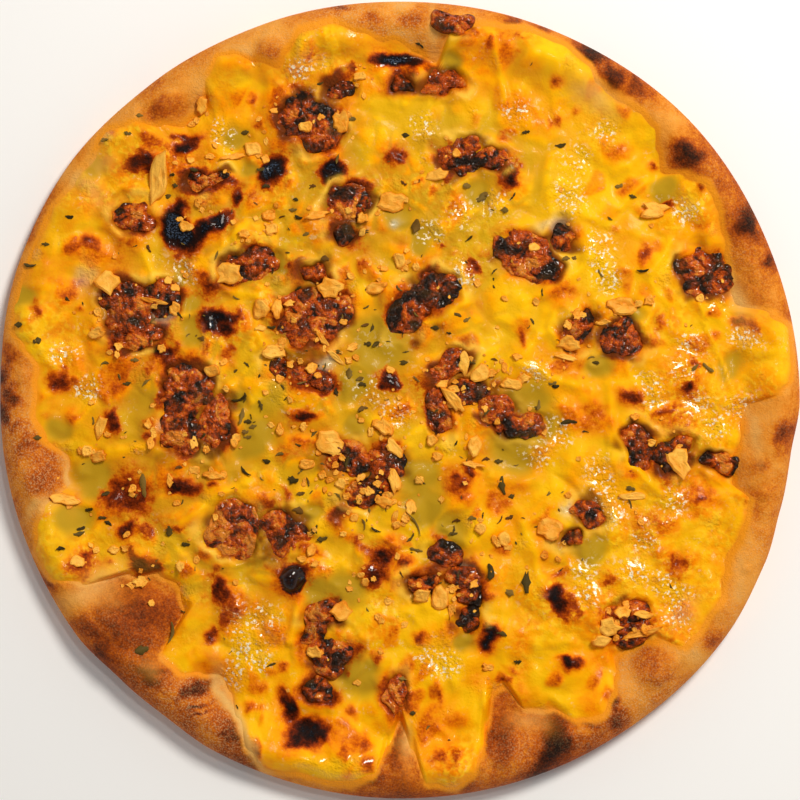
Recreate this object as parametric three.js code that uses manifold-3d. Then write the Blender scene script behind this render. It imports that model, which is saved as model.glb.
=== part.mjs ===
// A steak pizza, whole and uncut: a thin round of dough with a puffed, blistered rim, one sheet
// of melted cheese that laps onto the rim in lobes, and pieces of steak set into the cheese.
// Garlic chips and herb flakes are part of whatever they lie on.
// Units are millimetres, +Z is up, and the origin is the middle of the flat underside.

import * as THREE from "three";
import Module from "manifold-3d";
import { mergeVertices } from "three/addons/utils/BufferGeometryUtils.js";

const manifoldLibrary = await Module();
manifoldLibrary.setup();

// Driving dimensions
const BASE_TOP = 6; // top of the flat dough under the cheese
const CHEESE_THICKNESS = 3.4; // mean thickness of the cheese over the dough
const CHEESE_EDGE_THICKNESS = 1.3; // where it runs out on the rim
const CHEESE_EDGE_ROUNDING = 8; // how far in from its edge the cheese reaches full thickness
const POOL_DEPTH = 1.3; // how far the cheese sinks where it has run thin
const LIP_HEIGHT = 1.5; // cheese heaped round each piece of steak
const LIP_OFFSET = 3.2; // from the steak's outline to the crest of that heap
const LIP_WIDTH = 2.6;
const STEAK_HEIGHT = 5.4; // mean height of a piece of steak over the dough
const CHIP_HEIGHT = 1.3; // garlic chip, above the surface that it lies on
const HERB_HEIGHT = 0.7;
const GAP = 0.3; // clearance between touching pieces
const LOW = 1; // where cheese and steak start, before the dough is cut out of them
const OVER_ALL = 50; // higher than anything on the pizza
const SLOPE_RADIUS = 100; // steak further out than this lies on the slope of the rim

// The rim's section, measured inwards from the outer edge
const SIDE_HEIGHT = 5; // height of the widest line of the side
const CREST_INSET = 9;
const CREST_HEIGHT = 14.5;
const RIM_INSET = 25; // where the rim has run down to the flat dough
const RIM_BLEND = 4; // over which its ripples fade out there, to both sides
const TALL = 17; // over this height the puffs flatten off
const TALL_ROOM = 1.7; // and rise by no more than this
const PUFF_SHARPNESS = 1.3;
const UNDERSIDE_RINGS = [[6, 0], [1.3, 2], [0, SIDE_HEIGHT]]; // [inset, height]

// Unevenness: [distance between bumps, height, seed]
const RIM_RIPPLES = [[13, 0.9, 1], [6, 0.5, 2]];
const CHEESE_LUMPS = [[17, 0.9, 3], [8, 0.6, 4]];

// Steak: steep sides, then a low uneven crown
const STEAK_SHOULDER = 0.68; // share of the height where its side turns over
const STEAK_CROWN = 0.6; // share of the width where its crown begins
const STEAK_CROWN_HEIGHT = 0.95; // share of the height there
const STEAK_SIZES = [0.85, 0.3]; // smallest height as a share of the mean, and its spread
const STEAK_RAGGEDNESS = 0.22; // of its outline, as a share of its width
const STEAK_LUMP = 1.1; // of its top
const LONG_STEAK = 15; // from this length on it has one corner more
const NEAR_STEAK = 1; // pieces that come this close are cut clear of each other

// Chips and herbs
const CHIP_SINK = 1.4; // how far one reaches into what it lies on
const CHIP_FOOT = 1.1; // its width underneath and on top, as shares of its width
const CHIP_CROWN = 0.85;
const CHIP_TILT = 0.35;
const CHIP_RAGGEDNESS = 0.4;
const CHIP_TURN_SPREAD = 24; // degrees
const LONG_CHIP = 7; // from this length on it has one corner more
const SMALLEST_CHIP = 2.5;
const STEAK_REACH = 1.08; // a topping within this share of a steak piece lies on it
const STEAK_ROOM = 0.85; // and stays within this share

// Fineness of the surfaces
const CRUST_SPOKES = 84;
const CRUST_TOP_INSETS = [1.4, 4.4, 9, 14, 20, 27, 35, 44];
const CHEESE_RINGS = 19;
const CHEESE_MEAN_RADIUS = 133;
const NET_FOLLOWS = 0.6; // share of the radius from which the cheese's net follows its edge
const BUBBLE_CORNERS = 8;
const BUBBLE_SHARES = [0.9, 0.6]; // of the bubble's width, where its rings lie

// Outer edge of the dough: [angle in degrees, radius]
const CRUST_EDGE = [
  [0, 150], [20, 150], [45, 151], [70, 150], [90, 149.5], [110, 150], [128, 151], [145, 152.5],
  [160, 152], [180, 150], [200, 150], [216, 150], [225, 148.2], [233, 147.8], [242, 149],
  [270, 149.5], [300, 150], [325, 151], [336, 150], [344, 148.5], [352, 148],
];

// Height of the rim's crest over or under its mean: [angle in degrees, height]
const CREST_CHANGE = [
  [0, 0.5], [18, -1], [38, 1], [55, -0.5], [72, 1.5], [88, 0], [106, 1.5], [122, -0.5], [150, -3.2],
  [172, -1.5], [192, 1.5], [206, -0.5], [222, 1.5], [240, 0.5], [256, -1.5], [270, 1],
  [288, 1.5], [303, 0], [318, 1.5], [338, 0], [350, 1],
];

// Blisters and puffs on the rim: [x, y, length, width, turn in degrees, height]
const PUFFS = [
  [-98, -80, 34, 27, -20, 6.4], [-133, -28, 24, 15, 75, 2.6], [-48, 127, 22, 15, 90, 3.2],
  [-86, 110, 16, 11, 40, 2.2], [106, 92, 15, 14, 0, 2.2], [95, -99, 20, 18, 0, 3.2],
  [38, -127, 22, 15, 90, 3], [-1, -131, 17, 9, 90, 2.5], [72, 129, 12, 8, -30, 1.5],
  [80, 119, 13, 9, -40, 1.8], [57, -128, 20, 13, 80, 1.6], [129, 66, 13, 10, 70, 1.6],
];

// Outer edge of the cheese: [angle in degrees, radius]
const CHEESE_EDGE = [
  [1, 141], [3, 146], [6, 148], [10, 148], [13, 142], [16, 131], [22, 134], [27, 136], [31, 138],
  [35, 141], [38, 136], [41, 131], [44, 135], [47, 140], [50, 141], [54, 139], [58, 140],
  [61, 145], [65, 147], [70, 146], [75, 145], [79, 143], [82, 139], [84, 128], [87, 131],
  [92, 135], [96, 139], [100, 143], [105, 142], [108, 137], [110, 132], [113, 137], [116, 143],
  [118, 145], [121, 141], [124, 131], [128, 131], [131, 136], [134, 144], [138, 149], [142, 147],
  [146, 147], [152, 149], [166, 149], [170, 147], [172, 142], [175, 136], [182, 137], [186, 134],
  [190, 127], [194, 129], [197, 139], [200, 144], [203, 147], [207, 146], [210, 138], [213, 121],
  [216, 112], [220, 110], [224, 113], [227, 131], [231, 132], [234, 127], [237, 124], [240, 127],
  [243, 134], [247, 142], [250, 147], [255, 145], [262, 145], [266, 141], [268, 131], [270, 121],
  [272, 132], [274, 144], [278, 146], [281, 142], [283, 135], [285, 126], [288, 115], [290, 114],
  [292, 126], [296, 130], [299, 137], [303, 140], [306, 136], [308, 131], [310, 126], [314, 127],
  [317, 131], [319, 140], [323, 142], [328, 141], [331, 138], [334, 135], [338, 137], [341, 138],
  [344, 136], [346, 129], [350, 127], [355, 129], [359, 130],
];

// Low places where the cheese has run thin: [x, y, radius]
const POOLS = [
  [-8, 19, 15], [-16, -10, 7], [-58, -12, 9], [10, -38, 10], [19, -49, 9], [42, -18, 11],
  [49, -2, 9], [-16, -104, 9], [-31, -73, 7], [124, 12, 7], [98, 79, 8], [-116, -30, 8],
  [0, 66, 7], [71, -56, 6], [-115, 88, 6], [-60, 98, 7],
];

// A bubble that rose in the cheese and burnt: [x, y, length, width, turn in degrees, height]
const BURNT_BUBBLE = [-40, -67, 10, 9, 80, 2.6];

// Pieces of steak: [x, y, length, width, turn in degrees]
const STEAKS = [
  [-100, 69, 13, 12, 0], [-70, 82, 19, 8, 8], [-34, 104, 24, 19, -25], [-24, 117, 12, 10, 60],
  [-19, 74, 17, 13, 30], [-21, 62, 10, 9, 0], [-57, 51, 21, 15, 25], [-103, 35, 22, 18, -60],
  [-90, 38, 12, 12, 0], [-98, 23, 20, 9, 10], [-32, 31, 26, 22, 0], [-32, 48, 10, 8, 0],
  [-46, 12, 11, 10, 0], [-34, 7, 17, 10, -20], [3, 33, 20, 14, 75], [15, 40, 17, 15, 0],
  [21, 91, 18, 14, 10], [35, 90, 14, 8, 5], [47, 54, 25, 17, -25], [61, 61, 10, 9, 0],
  [67, 27, 16, 11, 70], [83, 22, 17, 15, 0], [115, 48, 22, 20, 0], [20, 141, 13, 8, 0],
  [1, 118, 9, 6, 0], [16, 118, 17, 9, 0], [-80, 3, 22, 18, 60], [-82, -13, 17, 15, 0],
  [-69, -9, 22, 11, 80], [18, 12, 20, 8, 35], [14, -3, 18, 8, 110], [25, 2, 13, 12, 0],
  [36, -5, 14, 11, -20], [47, -10, 13, 9, -15], [-19, -21, 17, 14, 0], [-5, -23, 14, 13, 0],
  [-12, -34, 18, 9, 10], [-62, -48, 22, 20, 0], [-43, -49, 17, 19, 0], [-30, -82, 17, 13, 60],
  [-26, -95, 18, 14, 0], [-30, -108, 13, 11, 0], [18, -58, 13, 10, 0], [26, -70, 17, 14, -60],
  [10, -68, 13, 8, 0], [26, -82, 10, 8, 0], [89, -18, 19, 13, 90], [101, -20, 15, 11, 60],
  [120, -23, 20, 6, -10], [70, -42, 11, 10, 0], [64, -52, 10, 7, 0], [85, -83, 18, 15, 0],
  [-2, -112, 15, 8, 80],
];

// Garlic chips, the largest ones: [x, y, length, width, turn in degrees]
const GARLIC_CHIPS = [
  [-90, 83, 17, 7, 90], [-22, 104, 8, 6, 90], [-62, 91, 9, 3, 0], [14, 84, 8, 4, 0],
  [95, 71, 9, 6, 0], [-109, 44, 8, 8, 90], [-92, 37, 10, 3, 0], [-112, -10, 8, 4, 90],
  [-64, 47, 9, 8, 0], [-52, 34, 7, 6, 90], [-26, 42, 9, 7, 0], [-29, 23, 8, 3, 135],
  [-47, 18, 8, 5, 0], [-31, 69, 8, 3, 0], [-9, 42, 8, 4, 0], [-3, 74, 9, 8, 0],
  [63, 21, 8, 5, 0], [62, 16, 8, 3, 0], [83, 35, 10, 7, 0], [-113, -21, 7, 4, 0],
  [-125, -37, 10, 4, 0], [-70, -28, 7, 3, 0], [-26, -16, 10, 9, 0], [24, 14, 8, 4, 90],
  [30, 10, 7, 6, 0], [42, 6, 7, 4, 0], [20, 0, 11, 4, 135], [-6, -10, 8, 5, 135],
  [-2, -18, 8, 4, 135], [-2, -30, 9, 4, 90], [28, -17, 7, 5, 90], [27, -24, 8, 3, 0],
  [56, -48, 9, 8, 0], [104, -23, 10, 8, 90], [87, -36, 9, 3, 0], [15, -74, 8, 7, 90],
  [-22, -79, 7, 7, 0], [91, -80, 7, 3, 0], [78, -85, 8, 6, 0], [90, -87, 14, 3, 0],
  [75, -90, 7, 4, 0],
];

// Herb flakes, the largest ones: [x, y, length, width, turn in degrees]
const HERB_FLAKES = [
  [31, 76, 7, 3, 45], [115, 12, 6, 2, 135], [-96, -32, 9, 3, 90], [-60, 0, 6, 2, 0],
  [-59, -6, 6, 2, 90], [38, -32, 7, 3, 90], [6, -46, 10, 2, 135], [63, -8, 6, 2, 0],
  [47, -68, 8, 4, 90], [34, -64, 6, 4, 90],
];

const MATERIALS = {
  crust: new THREE.MeshStandardMaterial({ color: 0xc58543, roughness: 0.85, metalness: 0 }),
  cheese: new THREE.MeshStandardMaterial({ color: 0xf7ae1c, roughness: 0.35, metalness: 0 }),
  steak: new THREE.MeshStandardMaterial({ color: 0x6b2c14, roughness: 0.5, metalness: 0 }),
};

// ---- small maths ----

function smoothstep(low, high, value) {
  const t = Math.min(1, Math.max(0, (value - low) / (high - low)));
  return t * t * (3 - 2 * t);
}

function cellValue(column, row, seed) {
  const wave = Math.sin(column * 127.1 + row * 311.7 + seed * 74.7) * 43758.5453;
  return wave - Math.floor(wave);
}

// Smooth unevenness between -1 and 1 whose bumps are about one cell apart
function unevenness(x, y, cell, seed) {
  const column = Math.floor(x / cell);
  const row = Math.floor(y / cell);
  const across = smoothstep(0, 1, x / cell - column);
  const along = smoothstep(0, 1, y / cell - row);
  const low = THREE.MathUtils.lerp(cellValue(column, row, seed), cellValue(column + 1, row, seed), across);
  const high = THREE.MathUtils.lerp(
    cellValue(column, row + 1, seed), cellValue(column + 1, row + 1, seed), across);
  return 2 * THREE.MathUtils.lerp(low, high, along) - 1;
}

function layeredUnevenness(x, y, layers) {
  return layers.reduce((sum, [cell, height, seed]) => sum + height * unevenness(x, y, cell, seed), 0);
}

// Value at an angle of a closed table of [degrees, value]
function aroundTable(table, degrees) {
  let next = table.findIndex(([angle]) => angle > degrees);
  if (next < 0) {
    next = 0;
  }
  const last = (next + table.length - 1) % table.length;
  const span = (table[next][0] - table[last][0] + 360) % 360;
  const part = ((degrees - table[last][0] + 360) % 360) / span;
  return THREE.MathUtils.lerp(table[last][1], table[next][1], smoothstep(0, 1, part));
}

function degreesAt(x, y) {
  return (THREE.MathUtils.radToDeg(Math.atan2(y, x)) + 360) % 360;
}

// How far out a point lies in an oval: 0 at its middle, 1 on its outline
function ovalReach(x, y, [centreX, centreY, length, width, turn]) {
  const angle = THREE.MathUtils.degToRad(turn);
  const along = (x - centreX) * Math.cos(angle) + (y - centreY) * Math.sin(angle);
  const across = (y - centreY) * Math.cos(angle) - (x - centreX) * Math.sin(angle);
  return Math.hypot(along / (length / 2), across / (width / 2));
}

// ---- surfaces ----

function rimHeight(inset, degrees) {
  const crest = CREST_HEIGHT + aroundTable(CREST_CHANGE, degrees);
  if (inset < CREST_INSET) {
    const part = 1 - Math.max(0, inset) / CREST_INSET;
    return SIDE_HEIGHT + (crest - SIDE_HEIGHT) * Math.sqrt(1 - part * part);
  }
  return BASE_TOP + (crest - BASE_TOP) * (1 - smoothstep(CREST_INSET, RIM_INSET, inset));
}

function puffHeight(x, y) {
  const heights = PUFFS.map((puff) => {
    const reach = Math.min(1, ovalReach(x, y, puff));
    return puff[5] * (1 - reach * reach) ** PUFF_SHARPNESS;
  });
  return Math.max(...heights);
}

function flattenedOff(height) {
  const over = Math.max(0, height - TALL);
  return Math.min(height, TALL) + TALL_ROOM * (1 - Math.exp(-over / TALL_ROOM));
}

function crustTop(x, y) {
  const degrees = degreesAt(x, y);
  const inset = aroundTable(CRUST_EDGE, degrees) - Math.hypot(x, y);
  const onRim = 1 - smoothstep(RIM_INSET - RIM_BLEND, RIM_INSET + RIM_BLEND, inset);
  const fromEdge = smoothstep(0, CREST_INSET, inset);
  const ripple = onRim * fromEdge * layeredUnevenness(x, y, RIM_RIPPLES);
  return flattenedOff(rimHeight(inset, degrees) + fromEdge * puffHeight(x, y) + ripple);
}

function lipHeight(x, y) {
  const heights = STEAKS.map((steak) => {
    const outside = (ovalReach(x, y, steak) - 1) * (steak[2] + steak[3]) / 4;
    return LIP_HEIGHT * Math.exp(-(((outside - LIP_OFFSET) / LIP_WIDTH) ** 2));
  });
  return Math.max(...heights);
}

function poolDepth(x, y) {
  const depths = POOLS.map(([centreX, centreY, radius]) => {
    const reach = Math.hypot(x - centreX, y - centreY) / radius;
    return Math.exp(-reach * reach);
  });
  return POOL_DEPTH * Math.max(...depths);
}

function cheeseTop(x, y) {
  const inside = aroundTable(CHEESE_EDGE, degreesAt(x, y)) - Math.hypot(x, y);
  const lumps = layeredUnevenness(x, y, CHEESE_LUMPS);
  const full = CHEESE_THICKNESS + lumps + lipHeight(x, y) - poolDepth(x, y);
  const filled = Math.sqrt(smoothstep(0, CHEESE_EDGE_ROUNDING, inside));
  return crustTop(x, y) + THREE.MathUtils.lerp(CHEESE_EDGE_THICKNESS, full, filled);
}

function steakHeight(steak, reach) {
  const size = STEAK_SIZES[0] + STEAK_SIZES[1] * cellValue(steak[0], steak[1], 5);
  const rise = reach > STEAK_CROWN
    ? THREE.MathUtils.mapLinear(reach, 1, STEAK_CROWN, STEAK_SHOULDER, STEAK_CROWN_HEIGHT)
    : THREE.MathUtils.mapLinear(reach, STEAK_CROWN, 0, STEAK_CROWN_HEIGHT, 1);
  return STEAK_HEIGHT * size * rise;
}

function steakFloor(steak) {
  return crustTop(steak[0], steak[1]);
}

// ---- solids ----

function manifoldFrom(positions, triangles) {
  const geometry = new THREE.BufferGeometry();
  geometry.setAttribute("position", new THREE.Float32BufferAttribute(positions.flat(), 3));
  geometry.setIndex(triangles.flat());
  const merged = mergeVertices(geometry);
  return new manifoldLibrary.Manifold(new manifoldLibrary.Mesh({
    numProp: 3,
    vertProperties: merged.attributes.position.array,
    triVerts: Uint32Array.from(merged.index.array),
  }));
}

// A closed solid skinned over level rings, from a point underneath to a point on top
function solidFromRings(bottom, rings, top) {
  const count = rings[0].length;
  const positions = [bottom, ...rings.flat(), top];
  const triangles = [];
  const topIndex = positions.length - 1;
  const lastRing = topIndex - count;
  for (let i = 0; i < count; i += 1) {
    const next = (i + 1) % count;
    triangles.push([0, 1 + next, 1 + i]);
    triangles.push([topIndex, lastRing + i, lastRing + next]);
  }
  for (let ring = 0; ring < rings.length - 1; ring += 1) {
    const lower = 1 + ring * count;
    const upper = lower + count;
    for (let i = 0; i < count; i += 1) {
      const next = (i + 1) % count;
      triangles.push([lower + i, lower + next, upper + next]);
      triangles.push([lower + i, upper + next, upper + i]);
    }
  }
  return manifoldFrom(positions, triangles);
}

function crustRing(inset, height) {
  const ring = [];
  for (let i = 0; i < CRUST_SPOKES; i += 1) {
    const degrees = (i * 360) / CRUST_SPOKES;
    const radius = aroundTable(CRUST_EDGE, degrees) - inset;
    const x = radius * Math.cos(THREE.MathUtils.degToRad(degrees));
    const y = radius * Math.sin(THREE.MathUtils.degToRad(degrees));
    ring.push([x, y, height ?? crustTop(x, y)]);
  }
  return ring;
}

function makeCrust() {
  const underside = UNDERSIDE_RINGS.map(([inset, height]) => crustRing(inset, height));
  const topRings = CRUST_TOP_INSETS.map((inset) => crustRing(inset));
  return solidFromRings([0, 0, 0], [...underside, ...topRings], [0, 0, BASE_TOP]);
}

// Even net over the cheese: ring k has 6k points, and its outer rings follow the lobed edge
function cheeseNetPoint(ring, index) {
  const degrees = ring === 0 ? 0 : (index * 60) / ring;
  const part = ring / CHEESE_RINGS;
  const reach = THREE.MathUtils.lerp(
    CHEESE_MEAN_RADIUS, aroundTable(CHEESE_EDGE, degrees % 360), smoothstep(NET_FOLLOWS, 1, part));
  const x = part * reach * Math.cos(THREE.MathUtils.degToRad(degrees));
  const y = part * reach * Math.sin(THREE.MathUtils.degToRad(degrees));
  return [x, y, cheeseTop(x, y)];
}

function makeCheeseSheet() {
  const positions = [cheeseNetPoint(0, 0)];
  const starts = [0];
  for (let ring = 1; ring <= CHEESE_RINGS; ring += 1) {
    starts.push(positions.length);
    for (let index = 0; index < 6 * ring; index += 1) {
      positions.push(cheeseNetPoint(ring, index));
    }
  }
  const triangles = [];
  for (let ring = 0; ring < CHEESE_RINGS; ring += 1) {
    const inner = (index) => (ring === 0 ? 0 : starts[ring] + (index % (6 * ring)));
    const outer = (index) => starts[ring + 1] + (index % (6 * (ring + 1)));
    for (let sector = 0; sector < 6; sector += 1) {
      for (let i = 0; i <= ring; i += 1) {
        const near = sector * ring + i;
        const far = sector * (ring + 1) + i;
        triangles.push([inner(near), outer(far), outer(far + 1)]);
        if (i < ring) {
          triangles.push([inner(near), outer(far + 1), inner(near + 1)]);
        }
      }
    }
  }
  const edgeStart = starts[CHEESE_RINGS];
  const edgeCount = 6 * CHEESE_RINGS;
  const lowStart = positions.length;
  for (let i = 0; i < edgeCount; i += 1) {
    const [x, y] = positions[edgeStart + i];
    positions.push([x, y, LOW]);
  }
  const lowCentre = positions.length;
  positions.push([0, 0, LOW]);
  for (let i = 0; i < edgeCount; i += 1) {
    const next = (i + 1) % edgeCount;
    triangles.push([lowStart + i, lowStart + next, edgeStart + next]);
    triangles.push([lowStart + i, edgeStart + next, edgeStart + i]);
    triangles.push([lowCentre, lowStart + next, lowStart + i]);
  }
  return manifoldFrom(positions, triangles);
}

// Uneven outline of a steak piece, widened by a margin
function steakRing(steak, share, margin, heightAt) {
  const [centreX, centreY, length, width, turn] = steak;
  const count = length > LONG_STEAK ? 9 : 8;
  const angle = THREE.MathUtils.degToRad(turn);
  const ring = [];
  for (let i = 0; i < count; i += 1) {
    const around = (i * 2 * Math.PI) / count;
    const swell = 1 + STEAK_RAGGEDNESS * (cellValue(centreX + i, centreY, 6) - 0.5);
    const along = (length / 2 * swell * share + margin) * Math.cos(around);
    const across = (width / 2 * swell * share + margin) * Math.sin(around);
    const x = centreX + along * Math.cos(angle) - across * Math.sin(angle);
    const y = centreY + along * Math.sin(angle) + across * Math.cos(angle);
    ring.push([x, y, heightAt(i)]);
  }
  return ring;
}

function liesOnSlope(steak) {
  return Math.hypot(steak[0], steak[1]) > SLOPE_RADIUS;
}

function makeSteakPiece(steak) {
  const floor = steakFloor(steak);
  const under = liesOnSlope(steak) ? LOW : floor + GAP;
  const lump = (i, seed) => STEAK_LUMP * (cellValue(steak[0] + i, steak[1] - i, seed) - 0.5);
  const rings = [
    steakRing(steak, 1, 0, () => under),
    steakRing(steak, 1, 0, (i) => floor + steakHeight(steak, 1) + lump(i, 7)),
    steakRing(steak, STEAK_CROWN, 0, (i) => floor + steakHeight(steak, STEAK_CROWN) + lump(i, 8)),
  ];
  const top = floor + steakHeight(steak, 0);
  return solidFromRings([steak[0], steak[1], under], rings, [steak[0], steak[1], top]);
}

// The upright space that a steak piece takes up, with its clearance
function steakSpace(steak) {
  const low = steakRing(steak, 1, GAP, () => 0);
  const high = steakRing(steak, 1, GAP, () => OVER_ALL);
  return solidFromRings([steak[0], steak[1], 0], [low, high], [steak[0], steak[1], OVER_ALL]);
}

// A thin chip with an uneven outline, sunk a little into the surface under it
function makeChip([x, y, length, width, turn], surface, height) {
  const corners = length > LONG_CHIP ? 6 : 5;
  const angle = THREE.MathUtils.degToRad(turn + CHIP_TURN_SPREAD * (cellValue(x, y, 9) - 0.5));
  const outline = (share, z) => {
    const ring = [];
    for (let i = 0; i < corners; i += 1) {
      const around = ((i + CHIP_RAGGEDNESS * cellValue(x + i, y, 10)) * 2 * Math.PI) / corners;
      const along = (length / 2) * share * Math.cos(around);
      const across = (width / 2) * share * Math.sin(around);
      ring.push([
        x + along * Math.cos(angle) - across * Math.sin(angle),
        y + along * Math.sin(angle) + across * Math.cos(angle),
        z + CHIP_TILT * Math.cos(around + 2 * Math.PI * cellValue(x, y, 11)),
      ]);
    }
    return ring;
  };
  const rings = [outline(CHIP_FOOT, surface - CHIP_SINK), outline(CHIP_CROWN, surface + height)];
  return solidFromRings([x, y, surface - CHIP_SINK], rings, [x, y, surface + height]);
}

// A round bubble that stands out of the surface it rose in
function makeBubble([x, y, length, width, turn, height], surface) {
  const angle = THREE.MathUtils.degToRad(turn);
  const ring = (share, z) => Array.from({ length: BUBBLE_CORNERS }, (_, i) => {
    const around = (i * 2 * Math.PI) / BUBBLE_CORNERS;
    const along = (length / 2) * share * Math.cos(around);
    const across = (width / 2) * share * Math.sin(around);
    return [
      x + along * Math.cos(angle) - across * Math.sin(angle),
      y + along * Math.sin(angle) + across * Math.cos(angle),
      z,
    ];
  });
  const upper = BUBBLE_SHARES.map((share) => ring(share, surface + height * Math.sqrt(1 - share * share)));
  return solidFromRings(
    [x, y, surface - CHIP_SINK], [ring(1, surface - CHIP_SINK), ...upper], [x, y, surface + height]);
}

function steakUnder(topping) {
  return STEAKS.find((steak) => ovalReach(topping[0], topping[1], steak) < STEAK_REACH);
}

// A topping on a steak piece is shortened so that it stays inside that piece's outline
function fitOnSteak(topping, steak) {
  const reach = ovalReach(topping[0], topping[1], steak);
  const room = (STEAK_ROOM - reach) * Math.min(steak[2], steak[3]);
  return [topping[0], topping[1], Math.min(topping[2], room), Math.min(topping[3], room), topping[4]];
}

function toppingsOnCheese() {
  const height = (topping) => cheeseTop(topping[0], topping[1]);
  const free = (topping) => !steakUnder(topping);
  const chips = GARLIC_CHIPS.filter(free).map((chip) => makeChip(chip, height(chip), CHIP_HEIGHT));
  const herbs = HERB_FLAKES.filter(free).map((herb) => makeChip(herb, height(herb), HERB_HEIGHT));
  return [...chips, ...herbs, makeBubble(BURNT_BUBBLE, height(BURNT_BUBBLE))];
}

function toppingsOnSteak(steak) {
  return GARLIC_CHIPS
    .filter((chip) => steakUnder(chip) === steak)
    .map((chip) => fitOnSteak(chip, steak))
    .filter((chip) => chip[2] > SMALLEST_CHIP)
    .map((chip) => {
      const top = steakFloor(steak) + steakHeight(steak, ovalReach(chip[0], chip[1], steak));
      return makeChip(chip, top, CHIP_HEIGHT);
    });
}

// Cuts leave crumbs, and only the largest body is the piece
function largestBody(solid) {
  const bodies = solid.decompose();
  return bodies.reduce((best, body) => (body.volume() > best.volume() ? body : best));
}

function makeSteakSolid(steak, number, crustSpace) {
  let solid = makeSteakPiece(steak);
  for (const chip of toppingsOnSteak(steak)) {
    solid = solid.add(chip);
  }
  for (const other of STEAKS.slice(0, number)) {
    const reach = (steak[2] + other[2]) / 2 + NEAR_STEAK;
    if (Math.hypot(steak[0] - other[0], steak[1] - other[1]) < reach) {
      solid = solid.subtract(steakSpace(other));
    }
  }
  if (liesOnSlope(steak)) {
    solid = solid.subtract(crustSpace);
  }
  return largestBody(solid);
}

function makeCheeseSolid(crustSpace) {
  let solid = makeCheeseSheet();
  for (const chip of toppingsOnCheese()) {
    solid = solid.add(chip);
  }
  for (const steak of STEAKS) {
    solid = solid.subtract(steakSpace(steak));
  }
  return largestBody(solid.subtract(crustSpace));
}

// ---- the pizza ----

function meshFrom(solid, name, material) {
  const { vertProperties, triVerts } = solid.getMesh();
  const geometry = new THREE.BufferGeometry();
  geometry.setAttribute("position", new THREE.BufferAttribute(new Float32Array(vertProperties), 3));
  geometry.setIndex(new THREE.BufferAttribute(new Uint32Array(triVerts), 1));
  geometry.computeVertexNormals();
  const mesh = new THREE.Mesh(geometry, material);
  mesh.name = name;
  return mesh;
}

const crust = makeCrust();
const crustSpace = crust.translate([0, 0, GAP]);

const pizza = new THREE.Group();
pizza.add(meshFrom(crust, "crust", MATERIALS.crust));
pizza.add(meshFrom(makeCheeseSolid(crustSpace), "cheese", MATERIALS.cheese));
STEAKS.forEach((steak, index) => {
  const name = `steak_${String(index + 1).padStart(2, "0")}`;
  pizza.add(meshFrom(makeSteakSolid(steak, index, crustSpace), name, MATERIALS.steak.clone()));
});

export default pizza;
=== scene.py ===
import bpy
import numpy as np
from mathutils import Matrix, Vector


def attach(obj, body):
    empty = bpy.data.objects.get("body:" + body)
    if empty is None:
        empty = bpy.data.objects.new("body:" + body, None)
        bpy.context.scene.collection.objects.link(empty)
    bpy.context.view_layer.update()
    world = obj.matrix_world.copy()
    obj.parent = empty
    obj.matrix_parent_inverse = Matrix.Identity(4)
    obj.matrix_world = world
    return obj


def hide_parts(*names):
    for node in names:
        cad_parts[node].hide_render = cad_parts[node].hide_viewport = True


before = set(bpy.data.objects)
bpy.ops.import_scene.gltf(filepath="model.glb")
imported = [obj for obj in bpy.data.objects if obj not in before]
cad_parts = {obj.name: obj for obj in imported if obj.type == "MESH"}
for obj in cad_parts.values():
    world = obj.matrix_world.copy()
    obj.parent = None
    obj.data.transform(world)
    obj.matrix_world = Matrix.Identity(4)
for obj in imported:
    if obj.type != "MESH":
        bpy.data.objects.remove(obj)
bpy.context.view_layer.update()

# ==== The dough ==========================================================================
# A thin round of stretched bread dough, baked on a hot stone. The middle stays flat under
# the cheese, and the rim has puffed up, blistered and browned, with flour left in its skin.

MM = 0.001
BASE_TOP = 6  # top of the flat dough under the cheese
SIDE_HEIGHT = 5  # height of the widest line of the side
CREST_INSET = 9  # from the outer edge to the rim's crest
CREST_HEIGHT = 14.5
RIM_INSET = 25  # where the rim has run down to the flat dough
RIM_BLEND = 4  # over which its ripples fade out there, to both sides
TALL = 17  # over this height the puffs flatten off
TALL_ROOM = 1.7  # and rise by no more than this
PUFF_SHARPNESS = 1.3
CHEESE_MARGIN = 1.2  # the cheese stays this far inside the dough's edge
LOBE_CIRCLE = 140  # radius at which the unevenness of the cheese's edge is read
DOUGH_SPOKES = 880
DOUGH_SKIN_GAP = 0.1  # the skin stays this far inside the solid's outline
UNDERSIDE_RINGS = [(6, 0), (4, 0.25), (2.4, 1), (1.2, 2), (0.4, 3.4), (0, SIDE_HEIGHT)]  # (inset, height)
RIM_RING_INSETS = (0.35, CREST_INSET, 26)  # first, last and number, outside the crest
INNER_RING_INSETS = (CREST_INSET + 0.42, 46, 76)  # and inside it
STONE_HEIGHT = 1.5  # below this the dough baked on the stone
CREAM_WIDTH = 2.6  # mean width of the pale line along the cheese
WHOLE_REACH = 152  # a circle round the whole pizza, for the flat maps

# Unevenness: (strength, distance between bumps, seed)
RIM_RIPPLES = [(0.9, 13, 1), (0.5, 6, 2)]
SKIN_WRINKLES = [(0.22, 3.1, 22), (0.12, 1.6, 23)]
DOUGH_PATCHES = [(0.5, 19, 41), (0.35, 8, 42), (0.25, 3.5, 43)]
EDGE_LOBES = [(1.1, 9, 35), (0.35, 3.4, 36)]

# Raggedness of outlines: (shift, distance between bends, seed along x, seed along y)
MARK_RAGGEDNESS = (1, 2.3, 32, 34)

# Colours as seen, 0 to 255 a channel
CREAM = (226, 182, 104)  # dough that the cheese kept from browning
OILED = (238, 148, 22)  # dough and cheese edge that fried in the cheese's oil
FLOUR = (218, 176, 122)

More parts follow.
